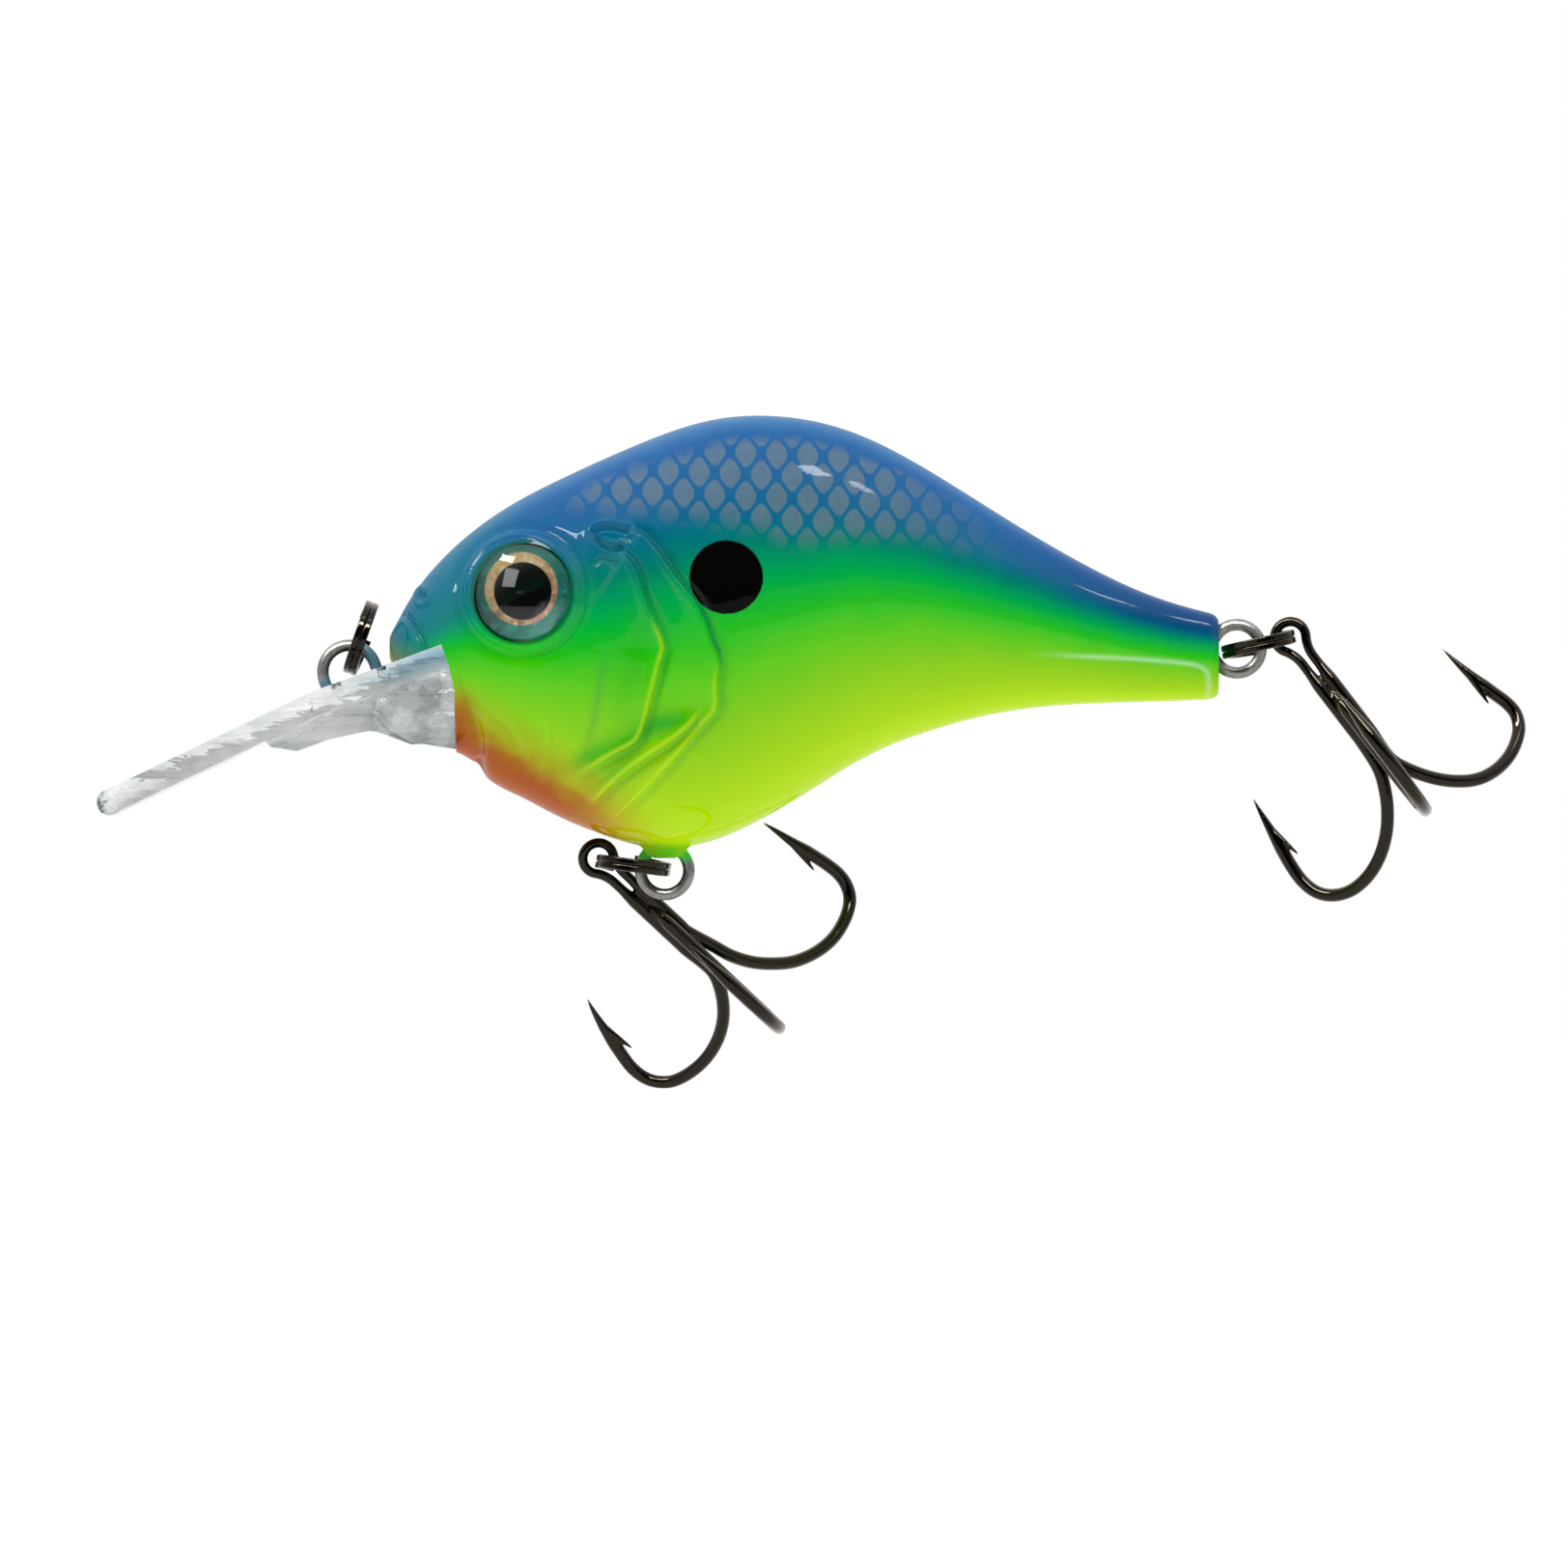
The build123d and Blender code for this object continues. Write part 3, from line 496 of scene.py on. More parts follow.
def grid_solid(name, grid, side):
    """Close a half-skin grid with two flat ends and a flat joint face."""
    rows, columns = grid.shape[:2]
    idx = np.arange(rows * columns).reshape(rows, columns)
    corners = [idx[:-1, :-1], idx[1:, :-1], idx[1:, 1:], idx[:-1, 1:]]
    quads = np.stack(corners, -1).reshape(-1, 4)
    if side < 0:
        quads = quads[:, ::-1]
    faces = [tuple(quad) for quad in quads]
    faces.append(tuple(idx[0, :]) if side < 0 else tuple(idx[0, ::-1]))
    faces.append(tuple(idx[-1, ::-1]) if side < 0 else tuple(idx[-1, :]))
    for i in range(rows - 1):
        faces.append((idx[i, 0], idx[i + 1, 0], idx[i + 1, -1], idx[i, -1]))
    return new_mesh(name, grid.reshape(-1, 3) * MM, faces)


def hollow(side):
    """Closed inner void of a half, one wall in from the flank, run out past the joint face."""
    rows, columns = 60, 48
    stations = BODY[(BODY[:, 0] > 14.5) & (BODY[:, 0] < 62)]
    q = np.linspace(stations[0, 0], stations[-1, 0], rows)
    T, B, H, P = (natural_cubic(stations[:, 0], stations[:, k], q) for k in (1, 2, 3, 4))
    T, B, H = T - WALL * 1.15, B + WALL * 1.15, H - WALL
    along = (q - q.mean()) / ((q[-1] - q[0]) / 2)
    taper = np.sqrt(np.clip(1 - np.abs(along) ** 6, 0.02, 1))
    angle = np.linspace(0, math.pi, columns)
    grid = np.zeros((rows, columns, 3))
    for i in range(rows):
        half_height = (T[i] - B[i]) / 2 * taper[i]
        y, z = section((T[i] + B[i]) / 2, half_height, H[i] * taper[i], P[i], angle)
        grid[i, :, 0] = q[i]
        grid[i, :, 1] = side * y
        grid[i, :, 2] = z
    grid[:, 0, 1] = grid[:, -1, 1] = -side * 0.5
    return grid_solid("void", grid, side)


def socket_cutter(side):
    """Cone along the eye axis, which leans towards the nose and up."""
    axis = Vector((-0.19, side * 1.0, 0.13)).normalized()
    bm = bmesh.new()
    bmesh.ops.create_cone(bm, cap_ends=True, segments=128, radius1=SOCKET_FLOOR_R * MM,
                          radius2=SOCKET_MOUTH_R * MM, depth=SOCKET_LENGTH * MM)
    mesh = bpy.data.meshes.new("socket")
    bm.to_mesh(mesh)
    bm.free()
    turn = axis.to_track_quat("Z", "Y").to_matrix().to_4x4()
    flank = Vector((EYE[0], side * EYE_Y, EYE[1])) * MM
    centre = flank + axis * ((-SOCKET_DEPTH + SOCKET_LENGTH / 2) * MM)
    ob = add_object("socket", mesh)
    mesh.transform(Matrix.Translation(centre) @ turn)
    return ob


def make_shell(side, name):
    rows, columns = ((470, 300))
    ob = grid_solid(name, body_grid(side, rows, columns), side)
    boss_y = (0, BOSS_HALF) if side > 0 else (-BOSS_HALF, 0)
    boolean(ob, prism("boss", HANGER_BOSS, *boss_y), "UNION")
    boolean(ob, prism("slot", TANG_SLOT, -SLOT_HALF, SLOT_HALF))
    boolean(ob, prism("mouth", MOUTH, -MOUTH_HALF, MOUTH_HALF))
    boolean(ob, socket_cutter(side))
    boolean(ob, hollow(side))
    for wire in ("belly_hanger_wire", "tail_hanger_wire"):
        boolean(ob, copy_node(wire, "cut_" + wire))
    clean(ob)
    sharpen(ob, limit_deg=42)
    paint_attributes(ob)
    return ob


# ------------------------------------------------------------------ shader node helpers
def linear(code):
    """Hex sRGB to linear."""
    c = [int(code[i : i + 2], 16) / 255 for i in (0, 2, 4)]
    return tuple(x / 12.92 if x <= 0.04045 else ((x + 0.055) / 1.055) ** 2.4 for x in c)


class Field:
    """An output in a node tree. Arithmetic on it adds math nodes."""

    def __init__(self, nodes, socket):
        self.nodes, self.socket = nodes, socket

    def math(self, operation, other=None):
        return self.nodes.math(operation, self, other)

    def __add__(self, other):
        return self.math("ADD", other)

    def __radd__(self, other):
        return self.nodes.math("ADD", other, self)

    def __sub__(self, other):
        return self.math("SUBTRACT", other)

    def __rsub__(self, other):
        return self.nodes.math("SUBTRACT", other, self)

    def __mul__(self, other):
        return self.math("MULTIPLY", other)

    def __truediv__(self, other):
        return self.math("DIVIDE", other)

    def __pow__(self, other):
        return self.math("POWER", other)

    def __abs__(self):
        return self.math("ABSOLUTE")

    def rise(self, lo, hi):
        """Smooth step from 0 at lo to 1 at hi."""
        return self.nodes.value("ShaderNodeMapRange", {0: self, 1: lo, 2: hi},
                                interpolation_type="SMOOTHSTEP")

    def fall(self, lo, hi):
        """Smooth step from 1 at lo to 0 at hi."""
        return 1.0 - self.rise(lo, hi)

    def bell(self, centre, width):
        """exp(-((value - centre) / width)^2)"""
        a = (self - centre) / width
        return (a * a * -1.0).math("EXPONENT")


class Nodes:
    """A node tree, emptied, and short ways to add to it. Colours may be hex sRGB text."""

    def __init__(self, tree):
        self.tree = tree
        tree.nodes.clear()

    def add(self, kind, **settings):
        node = self.tree.nodes.new(kind)
        for key, setting in settings.items():
            setattr(node, key, setting)
        return node

    def put(self, socket, value):
        """Link a Field to an input socket, or set its value."""
        if isinstance(value, Field):
            self.tree.links.new(value.socket, socket)
            return
        if isinstance(value, str):
            value = linear(value)
        if socket.type == "RGBA":
            value = (*value, 1)
        socket.default_value = value

    def value(self, kind, inputs, output=0, **settings):
        node = self.add(kind, **settings)
        for key, item in inputs.items():
            if item is not None:
                self.put(node.inputs[key], item)
        return Field(self, node.outputs[output])

    def math(self, operation, a, b=None):
        return self.value("ShaderNodeMath", {0: a, 1: b}, operation=operation)

    def mix(self, amount, a, b):
        """Colour a, going to b as the amount goes to 1."""
        return self.value("ShaderNodeMix", {0: amount, 6: a, 7: b}, 2, data_type="RGBA")

    def split(self, vec):
        node = self.add("ShaderNodeSeparateXYZ")
        self.put(node.inputs[0], vec)
        return [Field(self, out) for out in node.outputs]

    def camera_ray(self):
        return self.value("ShaderNodeLightPath", {}, "Is Camera Ray")


class Material(Nodes):
    """A material with one Principled surface."""

    def __init__(self, name):
        self.material = bpy.data.materials.new(name)
        self.material.use_nodes = True
        super().__init__(self.material.node_tree)
        out = self.add("ShaderNodeOutputMaterial")
        self.shader = self.add("ShaderNodeBsdfPrincipled")
        self.put(out.inputs[0], Field(self, self.shader.outputs[0]))

    def surface(self, inputs):
        for key, item in inputs.items():
            self.put(self.shader.inputs[key], item)

    def coords(self):
        """Object coordinates in mm."""
        coord = self.value("ShaderNodeTexCoord", {}, "Object")
        return self.value("ShaderNodeVectorMath", {0: coord, "Scale": 1000.0}, operation="SCALE")

    def attribute(self, name):
        return self.value("ShaderNodeAttribute", {}, "Fac", attribute_name=name)

    def noise(self, vec, scale, detail, rough=0.5):
        inputs = {"Vector": vec, "Scale": scale, "Detail": detail, "Roughness": rough}
        return self.value("ShaderNodeTexNoise", inputs)

    def bump(self, height, strength, distance):
        """Normal from a height field; the distance is in metres."""
        inputs = {"Strength": strength, "Distance": distance, "Height": height}
        return self.value("ShaderNodeBump", inputs)

    def ramp(self, factor, stops):
        node = self.add("ShaderNodeValToRGB")
        elements = node.color_ramp.elements
        while len(elements) < len(stops):
            elements.new(0.5)
        for element, (position, code) in zip(elements, stops):
            element.position = position
            element.color = (*linear(code), 1)
        self.put(node.inputs[0], factor)
        return Field(self, node.outputs[0])


def length(dx, dz):
    return (dx * dx + dz * dz).math("SQRT")


# ------------------------------------------------------------------ body paint
# height on the flank, 0 belly to 1 back, and its colour
FLANK_STOPS = [
    (0.00, "bce000"), (0.06, "b4e200"), (0.16, "a4dc00"), (0.27, "88d400"), (0.38, "5ed000"),
    (0.47, "28c60c"), (0.54, "06ba34"), (0.61, "00a456"), (0.68, "00826c"), (0.76, "006e88"),
    (0.86, "02609a"), (0.95, "085ea0"), (1.0, "2270a8"),
]
# painted shadow: green patches in the hollows between the gill edges: centre, direction, half
# length, half width, strength
PAINTED_GILL_SHADOWS = (
    ((26.885, -4.344), (0.97, 0.22), 2.9, 1.0, 0.95),
    ((23.770, -5.902), (0.90, 0.42), 2.6, 0.8, 0.80),
    ((20.492, -7.213), (0.86, 0.50), 2.4, 0.9, 0.80),
    ((22.787, -8.525), (0.80, 0.60), 2.6, 0.7, 0.55),
    ((24.016, 0.492), (0.2, 0.98), 5.0, 1.6, 0.40),
)
SPOT = (32.008, 7.951)  # x, z of the shoulder spot
SCALE_LENGTH, SCALE_HEIGHT = 2.62, 3.7
SCALE_ROUNDING = 3.2  # exponent: a higher one gives sharper diamonds


def flank_colours(m, x, z, level):
    colour = m.ramp(level, FLANK_STOPS)
    # the back of the tail root is a deeper blue
    deep = x.rise(lo=52.0, hi=72.0) * level.rise(lo=0.66, hi=0.80)
    colour = m.mix(deep * 0.75, colour, "033c74")
    # teal over the snout, and round under its tip
    snout = x.fall(lo=8.0, hi=18.0) * level.rise(lo=0.50, hi=0.66)
    colour = m.mix(snout * 0.6, colour, "047c86")
    under = x.fall(lo=5.0, hi=8.4) * z.rise(lo=-0.6, hi=0.2)
    under = under * level.fall(lo=0.56, hi=0.70)
    return m.mix(under * 0.9, colour, "0c8a84")


def back_scales(m, vec, x, z, level, colour):
    """Grey scales in a blue net along the back."""
    u = (x - 0.9) / SCALE_LENGTH
    v = (z + (x - 34.0) * 0.05) / SCALE_HEIGHT  # the rows slope gently

    def line(a):
        return abs(a.math("FRACT") - 0.5)

    # rounded diamonds: a soft maximum of the two line fields
    line1, line2 = line(u + v), line(u - v)
    power1, power2 = line1**SCALE_ROUNDING, line2**SCALE_ROUNDING
    net = ((power1 + power2) ** (1 / SCALE_ROUNDING)).rise(lo=0.385, hi=0.465)
    # the lower edge of the scales climbs towards the head and the tail
    lowest = 0.665 + (38.0 - x).math("MAXIMUM", 0.0) * 0.0115
    lowest = lowest + (x - 42.0).math("MAXIMUM", 0.0) * 0.006
    upright = (level - lowest).rise(lo=-0.03, hi=0.06) * level.fall(lo=0.915, hi=0.955)
    panel = upright * (x.rise(lo=16.0, hi=22.0) * x.fall(lo=42.0, hi=58.0))
    grey = m.mix(m.noise(vec, scale=1.6, detail=2), "5a7284", "6c8593")
    cell = panel * (1.0 - net)
    colour = m.mix(cell * 0.78, colour, grey)
    return m.mix(panel * net * 0.5, colour, "17639a")


def painted_gill_shadows(m, x, z, colour):
    # painted shadow: each patch greens a hollow between the gill edges
    for (cx, cz), (wx, wz), half_length, half_width, amount in PAINTED_GILL_SHADOWS:
        dx, dz = x - cx, z - cz
        along = dx * wx + dz * wz
        across = dz * wx - dx * wz
        shadow_patch = along.bell(0.0, half_length) * across.bell(0.0, half_width)
        colour = m.mix(shadow_patch * amount, colour, "26b010")
    return colour


def orange_throat(m, vec, x, z, colour):
    """Orange from the mouth corner back along the chin, below a sloping, wavy edge."""
    edge = -3.4 + (x - 9.0) * -0.62
    wave = (m.noise(vec, scale=0.45, detail=3) - 0.5) * 2.2
    below = edge - z + wave
    amount_back = x.fall(lo=20.0, hi=28.5)
    orange = below.rise(lo=-3.9, hi=1.3) * amount_back
    tone = m.mix(below.rise(lo=-0.9, hi=2.3), "a89600", "a63a00")
    tone = m.mix(x.rise(lo=17.0, hi=25.0), tone, "b88c10")
    colour = m.mix(orange * 0.95, colour, tone)
    chin = x.fall(lo=9.5, hi=11.6) * z.fall(lo=-3.6, hi=-0.6)
    return m.mix(chin * 0.75, colour, "a84600")


def painted_ridge_light(m, level, colour):
    """Painted shade and painted highlights along the gill ridges and the tail panel, from the mesh
    attributes.
    """
    # painted shade: dark teal in the grooves
    colour = m.mix(m.attribute("painted_shade_line") * 0.60, colour, "03605a")
    # painted highlight on the crests: yellow low on the flank, teal higher up
    low = level.fall(lo=0.50, hi=0.66)
    light = m.mix(low, "35b890", "c6e81c")
    colour = m.mix(m.attribute("painted_highlight_line") * 0.62, colour, light)
    # painted highlight: pale line along the tail panel's edge
    return m.mix(m.attribute("painted_tail_highlight") * 0.6, colour, "c4f2b8")


def paint_material():
    m = Material("body_paint")
    vec = m.coords()
    x, _, z = m.split(vec)
    level = m.attribute("paint_t")
    level = level + (m.noise(vec, scale=0.30, detail=2) - 0.5) * 0.05
    colour = flank_colours(m, x, z, level)
    colour = back_scales(m, vec, x, z, level, colour)
    colour = painted_gill_shadows(m, x, z, colour)
    colour = orange_throat(m, vec, x, z, colour)
    colour = painted_ridge_light(m, level, colour)
    # fresh green over the hanger boss
    boss = x.bell(centre=26.9, width=2.4) * z.fall(lo=-15.3, hi=-14.2)
    colour = m.mix(boss * 0.75, colour, "3fcf20")
    # shoulder spot with a slightly ragged edge
    radius = length(x - SPOT[0], z - SPOT[1])
    ragged = (m.noise(vec, scale=2.5, detail=3) - 0.5) * 0.10
    colour = m.mix((radius + ragged).fall(lo=3.05, hi=3.17), colour, "030304")
    # painted shade: the eye socket walls are darkened to deep green
    radius = length(x - EYE[0], z - EYE[1])
    colour = m.mix(radius.fall(lo=4.25, hi=4.6) * 0.8, colour, "045a30")
    ripple = m.noise(vec, scale=0.9, detail=2)
    m.surface({
        "Base Color": colour,
        "Roughness": 0.45,
        "Specular IOR Level": 0.0,
        "Coat Weight": 0.45,
        "Coat Roughness": 0.03,
        "Coat IOR": 1.45,
        "Coat Normal": m.bump(ripple, strength=0.05, distance=0.00015),
    })
    return m.material


# ------------------------------------------------------------------ other materials
def lip_surface(x):
    """z of the lip's upper face around its root."""
    return LIP_ROOT[1] - LIP_ROOT[0] * LIP_SLOPE + x * LIP_SLOPE


def lip_material():
    m = Material("clear_lip")
    vec = m.coords()
    x, _, z = m.split(vec)
    # flow lines of the moulding run along the lip, and curl in the throat block: they shape the
    # bump, and in the colour they are painted reflection
    stretched = m.value("ShaderNodeVectorMath", {0: vec, 1: (0.09, 0.6, 0.95)},
                        operation="MULTIPLY")
    flow = m.noise(stretched, scale=0.8, detail=2)
    curl = m.noise(vec, scale=0.42, detail=3, rough=0.6)
    tip = x.fall(lo=-20.5, hi=-9.0)
    block = x.rise(lo=-1.5, hi=5.0) * (x * 0.38 - z).rise(lo=2.4, hi=3.6)
    # painted reflection: the greys of the streaks, the tip and the throat block stand in for
    # darker surroundings seen in the clear plastic
    shade = flow.rise(lo=0.36, hi=0.60) * 0.6 + curl.rise(lo=0.40, hi=0.62) * 0.4
    colour = m.mix(shade, "c9cfcd", "fafcfb")
    colour = m.mix(tip * 0.6, colour, "dfe3df")
    painted_block_shade = m.mix(curl.rise(lo=0.42, hi=0.60), "a3aeae", "f0f4f4")
    colour = m.mix(block * 0.85, colour, painted_block_shade)
    # painted reflection: a blue band just under the upper face at the root stands in for the blue
    # body seen through the plastic
    depth = lip_surface(x) - z
    blue = x.rise(lo=-1.0, hi=5.0) * depth.bell(centre=0.9, width=0.8)
    colour = m.mix(blue * 0.75, colour, "5fa3bd")
    m.surface({
        "Base Color": colour,
        "Roughness": 0.02 + tip * 0.07,
        "IOR": 1.52,
        "Transmission Weight": 1.0,
        "Normal": m.bump(flow + curl * block * 1.1, strength=0.22, distance=0.0006),
    })
    return m.material


def metal(name, colour1, colour2, rough, scale=1.2, bump=0.12):
    """Mottled metal; returns the material builder and its colour."""
    m = Material(name)
    vec = m.coords()
    broad = m.noise(vec, scale=scale, detail=4, rough=0.6)
    fine = m.noise(vec, scale=scale * 7, detail=3, rough=0.6)
    colour = m.mix(broad.rise(lo=0.35, hi=0.68), colour1, colour2)
    m.surface({
        "Base Color": colour,
        "Metallic": 1.0,
        "Roughness": rough + (fine - 0.5) * (rough * 0.5),
        "Normal": m.bump(broad, strength=bump, distance=0.00006),
    })
    return m, colour


def nickel_material():
    """Painted reflection: dark where it faces the eye, paler towards the edges of the wire."""
    m, edge = metal("dark_nickel", "81776e", "948a80", rough=0.09, scale=0.35, bump=0.0)
    facing = m.value("ShaderNodeLayerWeight", {"Blend": 0.35}, "Facing")
    # painted reflection: the base colour darkens where the wire faces the eye and pales at its
    # rims
    painted_core_shade = m.mix(facing.rise(lo=0.10, hi=0.40), "2f2b26", "3a352f")
    m.surface({"Base Color": m.mix(facing.rise(lo=0.25, hi=0.85), painted_core_shade, edge)})
    return m.material


def hanger_material():
    m, colour = metal("hanger_wire", "7d7c79", "8f8e8a", rough=0.34, scale=1.6, bump=0.2)
    vec = m.coords()
    x, _, z = m.split(vec)
    ragged = (m.noise(vec, scale=2.2, detail=3) - 0.5) * 0.9
    # green overspray where the belly wire leaves the body
    belly = (z + ragged).rise(lo=-16.4, hi=-15.6) * z.fall(lo=-12.0, hi=-11.0)
    belly = belly * x.rise(lo=20.0, hi=21.0)
    belly = belly * x.fall(lo=40.0, hi=41.0)
    colour = m.mix(belly, colour, "3ecf3a")
    # blue tint low on the line tie wire, and on all of it next to the body
    tie = x.fall(lo=8.0, hi=9.0) * (z - x * 0.36 + ragged).fall(lo=-0.2, hi=0.9)
    near_body = x.rise(lo=0.6, hi=1.6) * x.fall(lo=8.0, hi=9.0)
    tie = tie.math("MAXIMUM", near_body)
    colour = m.mix(tie * 0.85, colour, "1c5568")
    # the feet are sealed in clear plastic and read as clear
    sunk = (lip_surface(x) - z).rise(lo=0.0, hi=0.25) * x.fall(lo=9.0, hi=10.0)
    sunk_colour = m.mix(x.rise(lo=-1.0, hi=0.0), "cfd6d5", "6ea6b8")
    colour = m.mix(sunk * 0.95, colour, sunk_colour)
    tie = tie * (1.0 - sunk)
    bare = 1.0 - belly.math("MAXIMUM", tie * 0.8)
    m.surface({
        "Base Color": colour,
        "Metallic": bare * (1.0 - sunk),
        "Alpha": 1.0 - sunk * 0.93,
    })
    return m.material


def foil_material(name):
    """Copper foil round a black pupil, with a teal outer ring.

    The pupil sits a little behind the socket's centre, and the teal ring's edge a little
    above it.
    """
    m = Material(name)
    vec = m.coords()
    x, _, z = m.split(vec)
    pupil_radius = length(x - 14.92, z - 6.72)
    foil_x, foil_z = x - 14.78, z - 6.92
    foil_radius = length(foil_x, foil_z)
    # crumpled foil: angular facets in the bump, and paler patches painted in as its sparkle
    facets = m.value("ShaderNodeTexVoronoi", {"Scale": 0.9, "Vector": vec})
    spark = m.noise(vec, scale=1.1, detail=5, rough=0.7)
    sweep = (foil_z.math("ARCTAN2", foil_x) + 2.4).math("SINE") * 0.5 + 0.5
    copper = m.mix(sweep, "e7c07a", "c98f78")
    # painted glints: paler patches where the foil sparkles
    copper = m.mix(spark.rise(lo=0.45, hi=0.62), copper, "f0d9a8")
    # a neutral step: both inputs are the same copper
    copper = m.mix(spark.rise(lo=0.30, hi=0.44) * -0.0, copper, copper)
    teal = m.mix(spark, "1e7c86", "2f9a72")
    colour = m.mix(foil_radius.rise(lo=2.86, hi=2.98), copper, teal)
    pupil = pupil_radius.fall(lo=2.24, hi=2.34)
    m.surface({
        "Base Color": m.mix(pupil, colour, "030303"),
        "Metallic": (1.0 - pupil) * 0.85,
        "Specular IOR Level": 0.5 - pupil * 0.5,
        "Roughness": 0.28 + pupil * 0.6,
        "Normal": m.bump(spark + facets, strength=0.5, distance=0.0002),
    })
    return m.material


def lens_material():
    m = Material("eye_lens")
    tint = m.noise(m.coords(), scale=0.7, detail=2)
    m.surface({
        "Base Color": m.mix(tint, "eef6f4", "ffffff"),
        "Roughness": 0.01,
        "IOR": 1.47,
        "Transmission Weight": 1.0,
    })
    return m.material


def stage_material():
    """White floor that glows a little, but only as the camera sees it."""
    m = Material("studio_white")
    tint = m.noise(m.coords(), scale=0.01, detail=2)
    m.surface({
        "Base Color": m.mix(tint, (0.90, 0.90, 0.90), (0.93, 0.93, 0.93)),
        "Roughness": 0.9,
        "Specular IOR Level": 0.05,
        "Emission Color": (1, 1, 1),
        "Emission Strength": m.camera_ray() * 0.55,
    })
    return m.material


# ------------------------------------------------------------------ hooks as one brazed form
# Each treble has its own axes: rho is the distance out from the shank axis, and s the
# distance along it from the centre of the hook's eye.
HOOK_R = 1.15 / 2
EYE_WIRE_R = 0.85 / 2
EYE_HOLE_R = 0.90
EYE_LOOP_R = EYE_HOLE_R + EYE_WIRE_R
PACK_R = HOOK_R * 2 / math.sqrt(3) + 0.004  # three shanks that just touch
SHANK_END = 13.5
GAP_R = 6.25
EYE_FILLET_R = 3.2  # bend of the wire between its straight legs and the eye
EYE_LEG_END = 5.3
VOXEL = 0.085

# side-view run of each formed hook, from where it leaves the shank to its point: x, z
BELLY_REAR = [
    (30.88, -23.30), (32.27, -24.08), (33.91, -24.63), (35.55, -24.82), (37.60, -24.69),
    (39.55, -23.91), (41.09, -22.68), (42.11, -21.05), (42.52, -19.51), (42.27, -18.28),
    (41.60, -17.25), (40.47, -16.33), (39.04, -15.41), (37.60, -14.49), (36.27, -13.57),
    (34.84, -12.64)]
BELLY_FRONT = [
    (30.64, -25.25), (31.35, -26.58), (31.70, -28.22), (31.66, -29.86), (31.15, -31.50),
    (30.23, -32.93), (29.00, -34.06), (27.56, -34.84), (26.33, -34.98), (25.10, -34.67),
    (23.87, -33.75), (22.89, -32.42), (22.13, -31.29), (21.31, -30.06), (20.49, -28.63),
    (19.99, -27.58)]
TAIL_REAR = [
    (88.17, -7.25), (89.68, -8.20), (91.71, -8.94), (93.73, -9.27), (95.75, -9.11),
    (97.44, -8.26), (98.72, -6.85), (99.39, -5.06), (99.19, -3.61), (98.38, -2.60),
    (97.10, -1.66), (95.75, -0.61), (94.40, 0.57), (92.79, 2.12)]
TAIL_FRONT = [
    (87.26, -8.09), (87.80, -9.78), (88.07, -11.63), (88.00, -13.66), (87.46, -15.68),
    (86.48, -17.36), (85.13, -18.54), (83.62, -18.98), (82.20, -18.71), (80.99, -17.77),
    (79.98, -16.35), (79.07, -14.73), (78.16, -13.15), (77.35, -11.73), (76.71, -10.52)]


def tube(points, radii, segments=20):
    """Vertices and faces of a tube with a radius at each point (parallel transport frames)."""
    p = np.array(points, float)
    n = len(p)
    tangent = np.gradient(p, axis=0)
    tangent /= np.linalg.norm(tangent, axis=1, keepdims=True)
    u = np.cross(tangent[0], np.array([0.13, 0.97, 0.21]))
    u /= np.linalg.norm(u)
    verts, faces = [], []
    for i in range(n):
        u = u - tangent[i] * np.dot(u, tangent[i])
        u /= np.linalg.norm(u)
        w = np.cross(tangent[i], u)
        for k in range(segments):
            a = 2 * math.pi * k / segments
            verts.append(p[i] + radii[i] * (math.cos(a) * u + math.sin(a) * w))
    for i in range(n - 1):
        ring, above = i * segments, (i + 1) * segments
        for k in range(segments):
            k2 = (k + 1) % segments
            faces.append((ring + k, ring + k2, above + k2, above + k))
    faces.append(tuple(range(segments - 1, -1, -1)))
    faces.append(tuple((n - 1) * segments + k for k in range(segments)))
    return verts, faces


def round_bend(start):
    """Hook run in (rho, s): straight shank, round bend, and a leg that leans inwards."""
    pts = [(PACK_R, s) for s in np.linspace(start, SHANK_END, 22)]
    centre = PACK_R + GAP_R
    pts += [(centre + GAP_R * math.cos(a), SHANK_END + GAP_R * math.sin(a))
            for a in np.linspace(math.pi, -0.10, 60)[1:]]
    leg = np.array(pts[-1])
    way = leg - np.array(pts[-2])
    way /= np.linalg.norm(way)
    pts += [tuple(leg + way * q + np.array((-0.012, 0)) * q * q)
            for q in np.linspace(0, 5.3, 40)[1:]]
    return pts


def formed_bend(start, bend):
    """Hook run in (rho, s): straight shank, then through the bend's knots."""
    shank_end = max(bend[0][1] - 2.6, start + 1.0)
    return catmull([(PACK_R, s) for s in np.linspace(start, shank_end, 8)] + bend, 10)


def hook_curve(run):
    """Smoothed centreline, its radii, tapering to the point, and the run left to the point."""
    p = np.array(run)
    for _ in range(6):
        p[1:-1] = 0.25 * p[:-2] + 0.5 * p[1:-1] + 0.25 * p[2:]
    steps = np.linalg.norm(np.diff(p, axis=0), axis=1)
    left = np.concatenate([np.cumsum(steps[::-1])[::-1], [0]])
    radii = [max(0.03, HOOK_R * min(1.0, (q / 5.0) ** 0.85)) for q in left]
    return p, radii, left


def barb_curve(pts, radii, left):
    """A sliver raised from the inner side of the leg, pointing back down it, in (rho, s)."""
    tip_side = int(np.argmin(np.abs(left - 3.6)))
    root, low = pts[tip_side], pts[int(np.argmin(np.abs(left - 6.3)))]
    way = (root - low) / np.linalg.norm(root - low)
    inward = np.array((way[1], -way[0]))
    if inward[0] > 0:
        inward = -inward
    start = root + inward * radii[tip_side] * 0.15
    end = low + inward * (HOOK_R + 0.62)
    qs = np.linspace(0, 1, 14)
    return [start * (1 - q) + end * q for q in qs], [0.34 * (1 - q) ** 0.7 + 0.045 for q in qs]


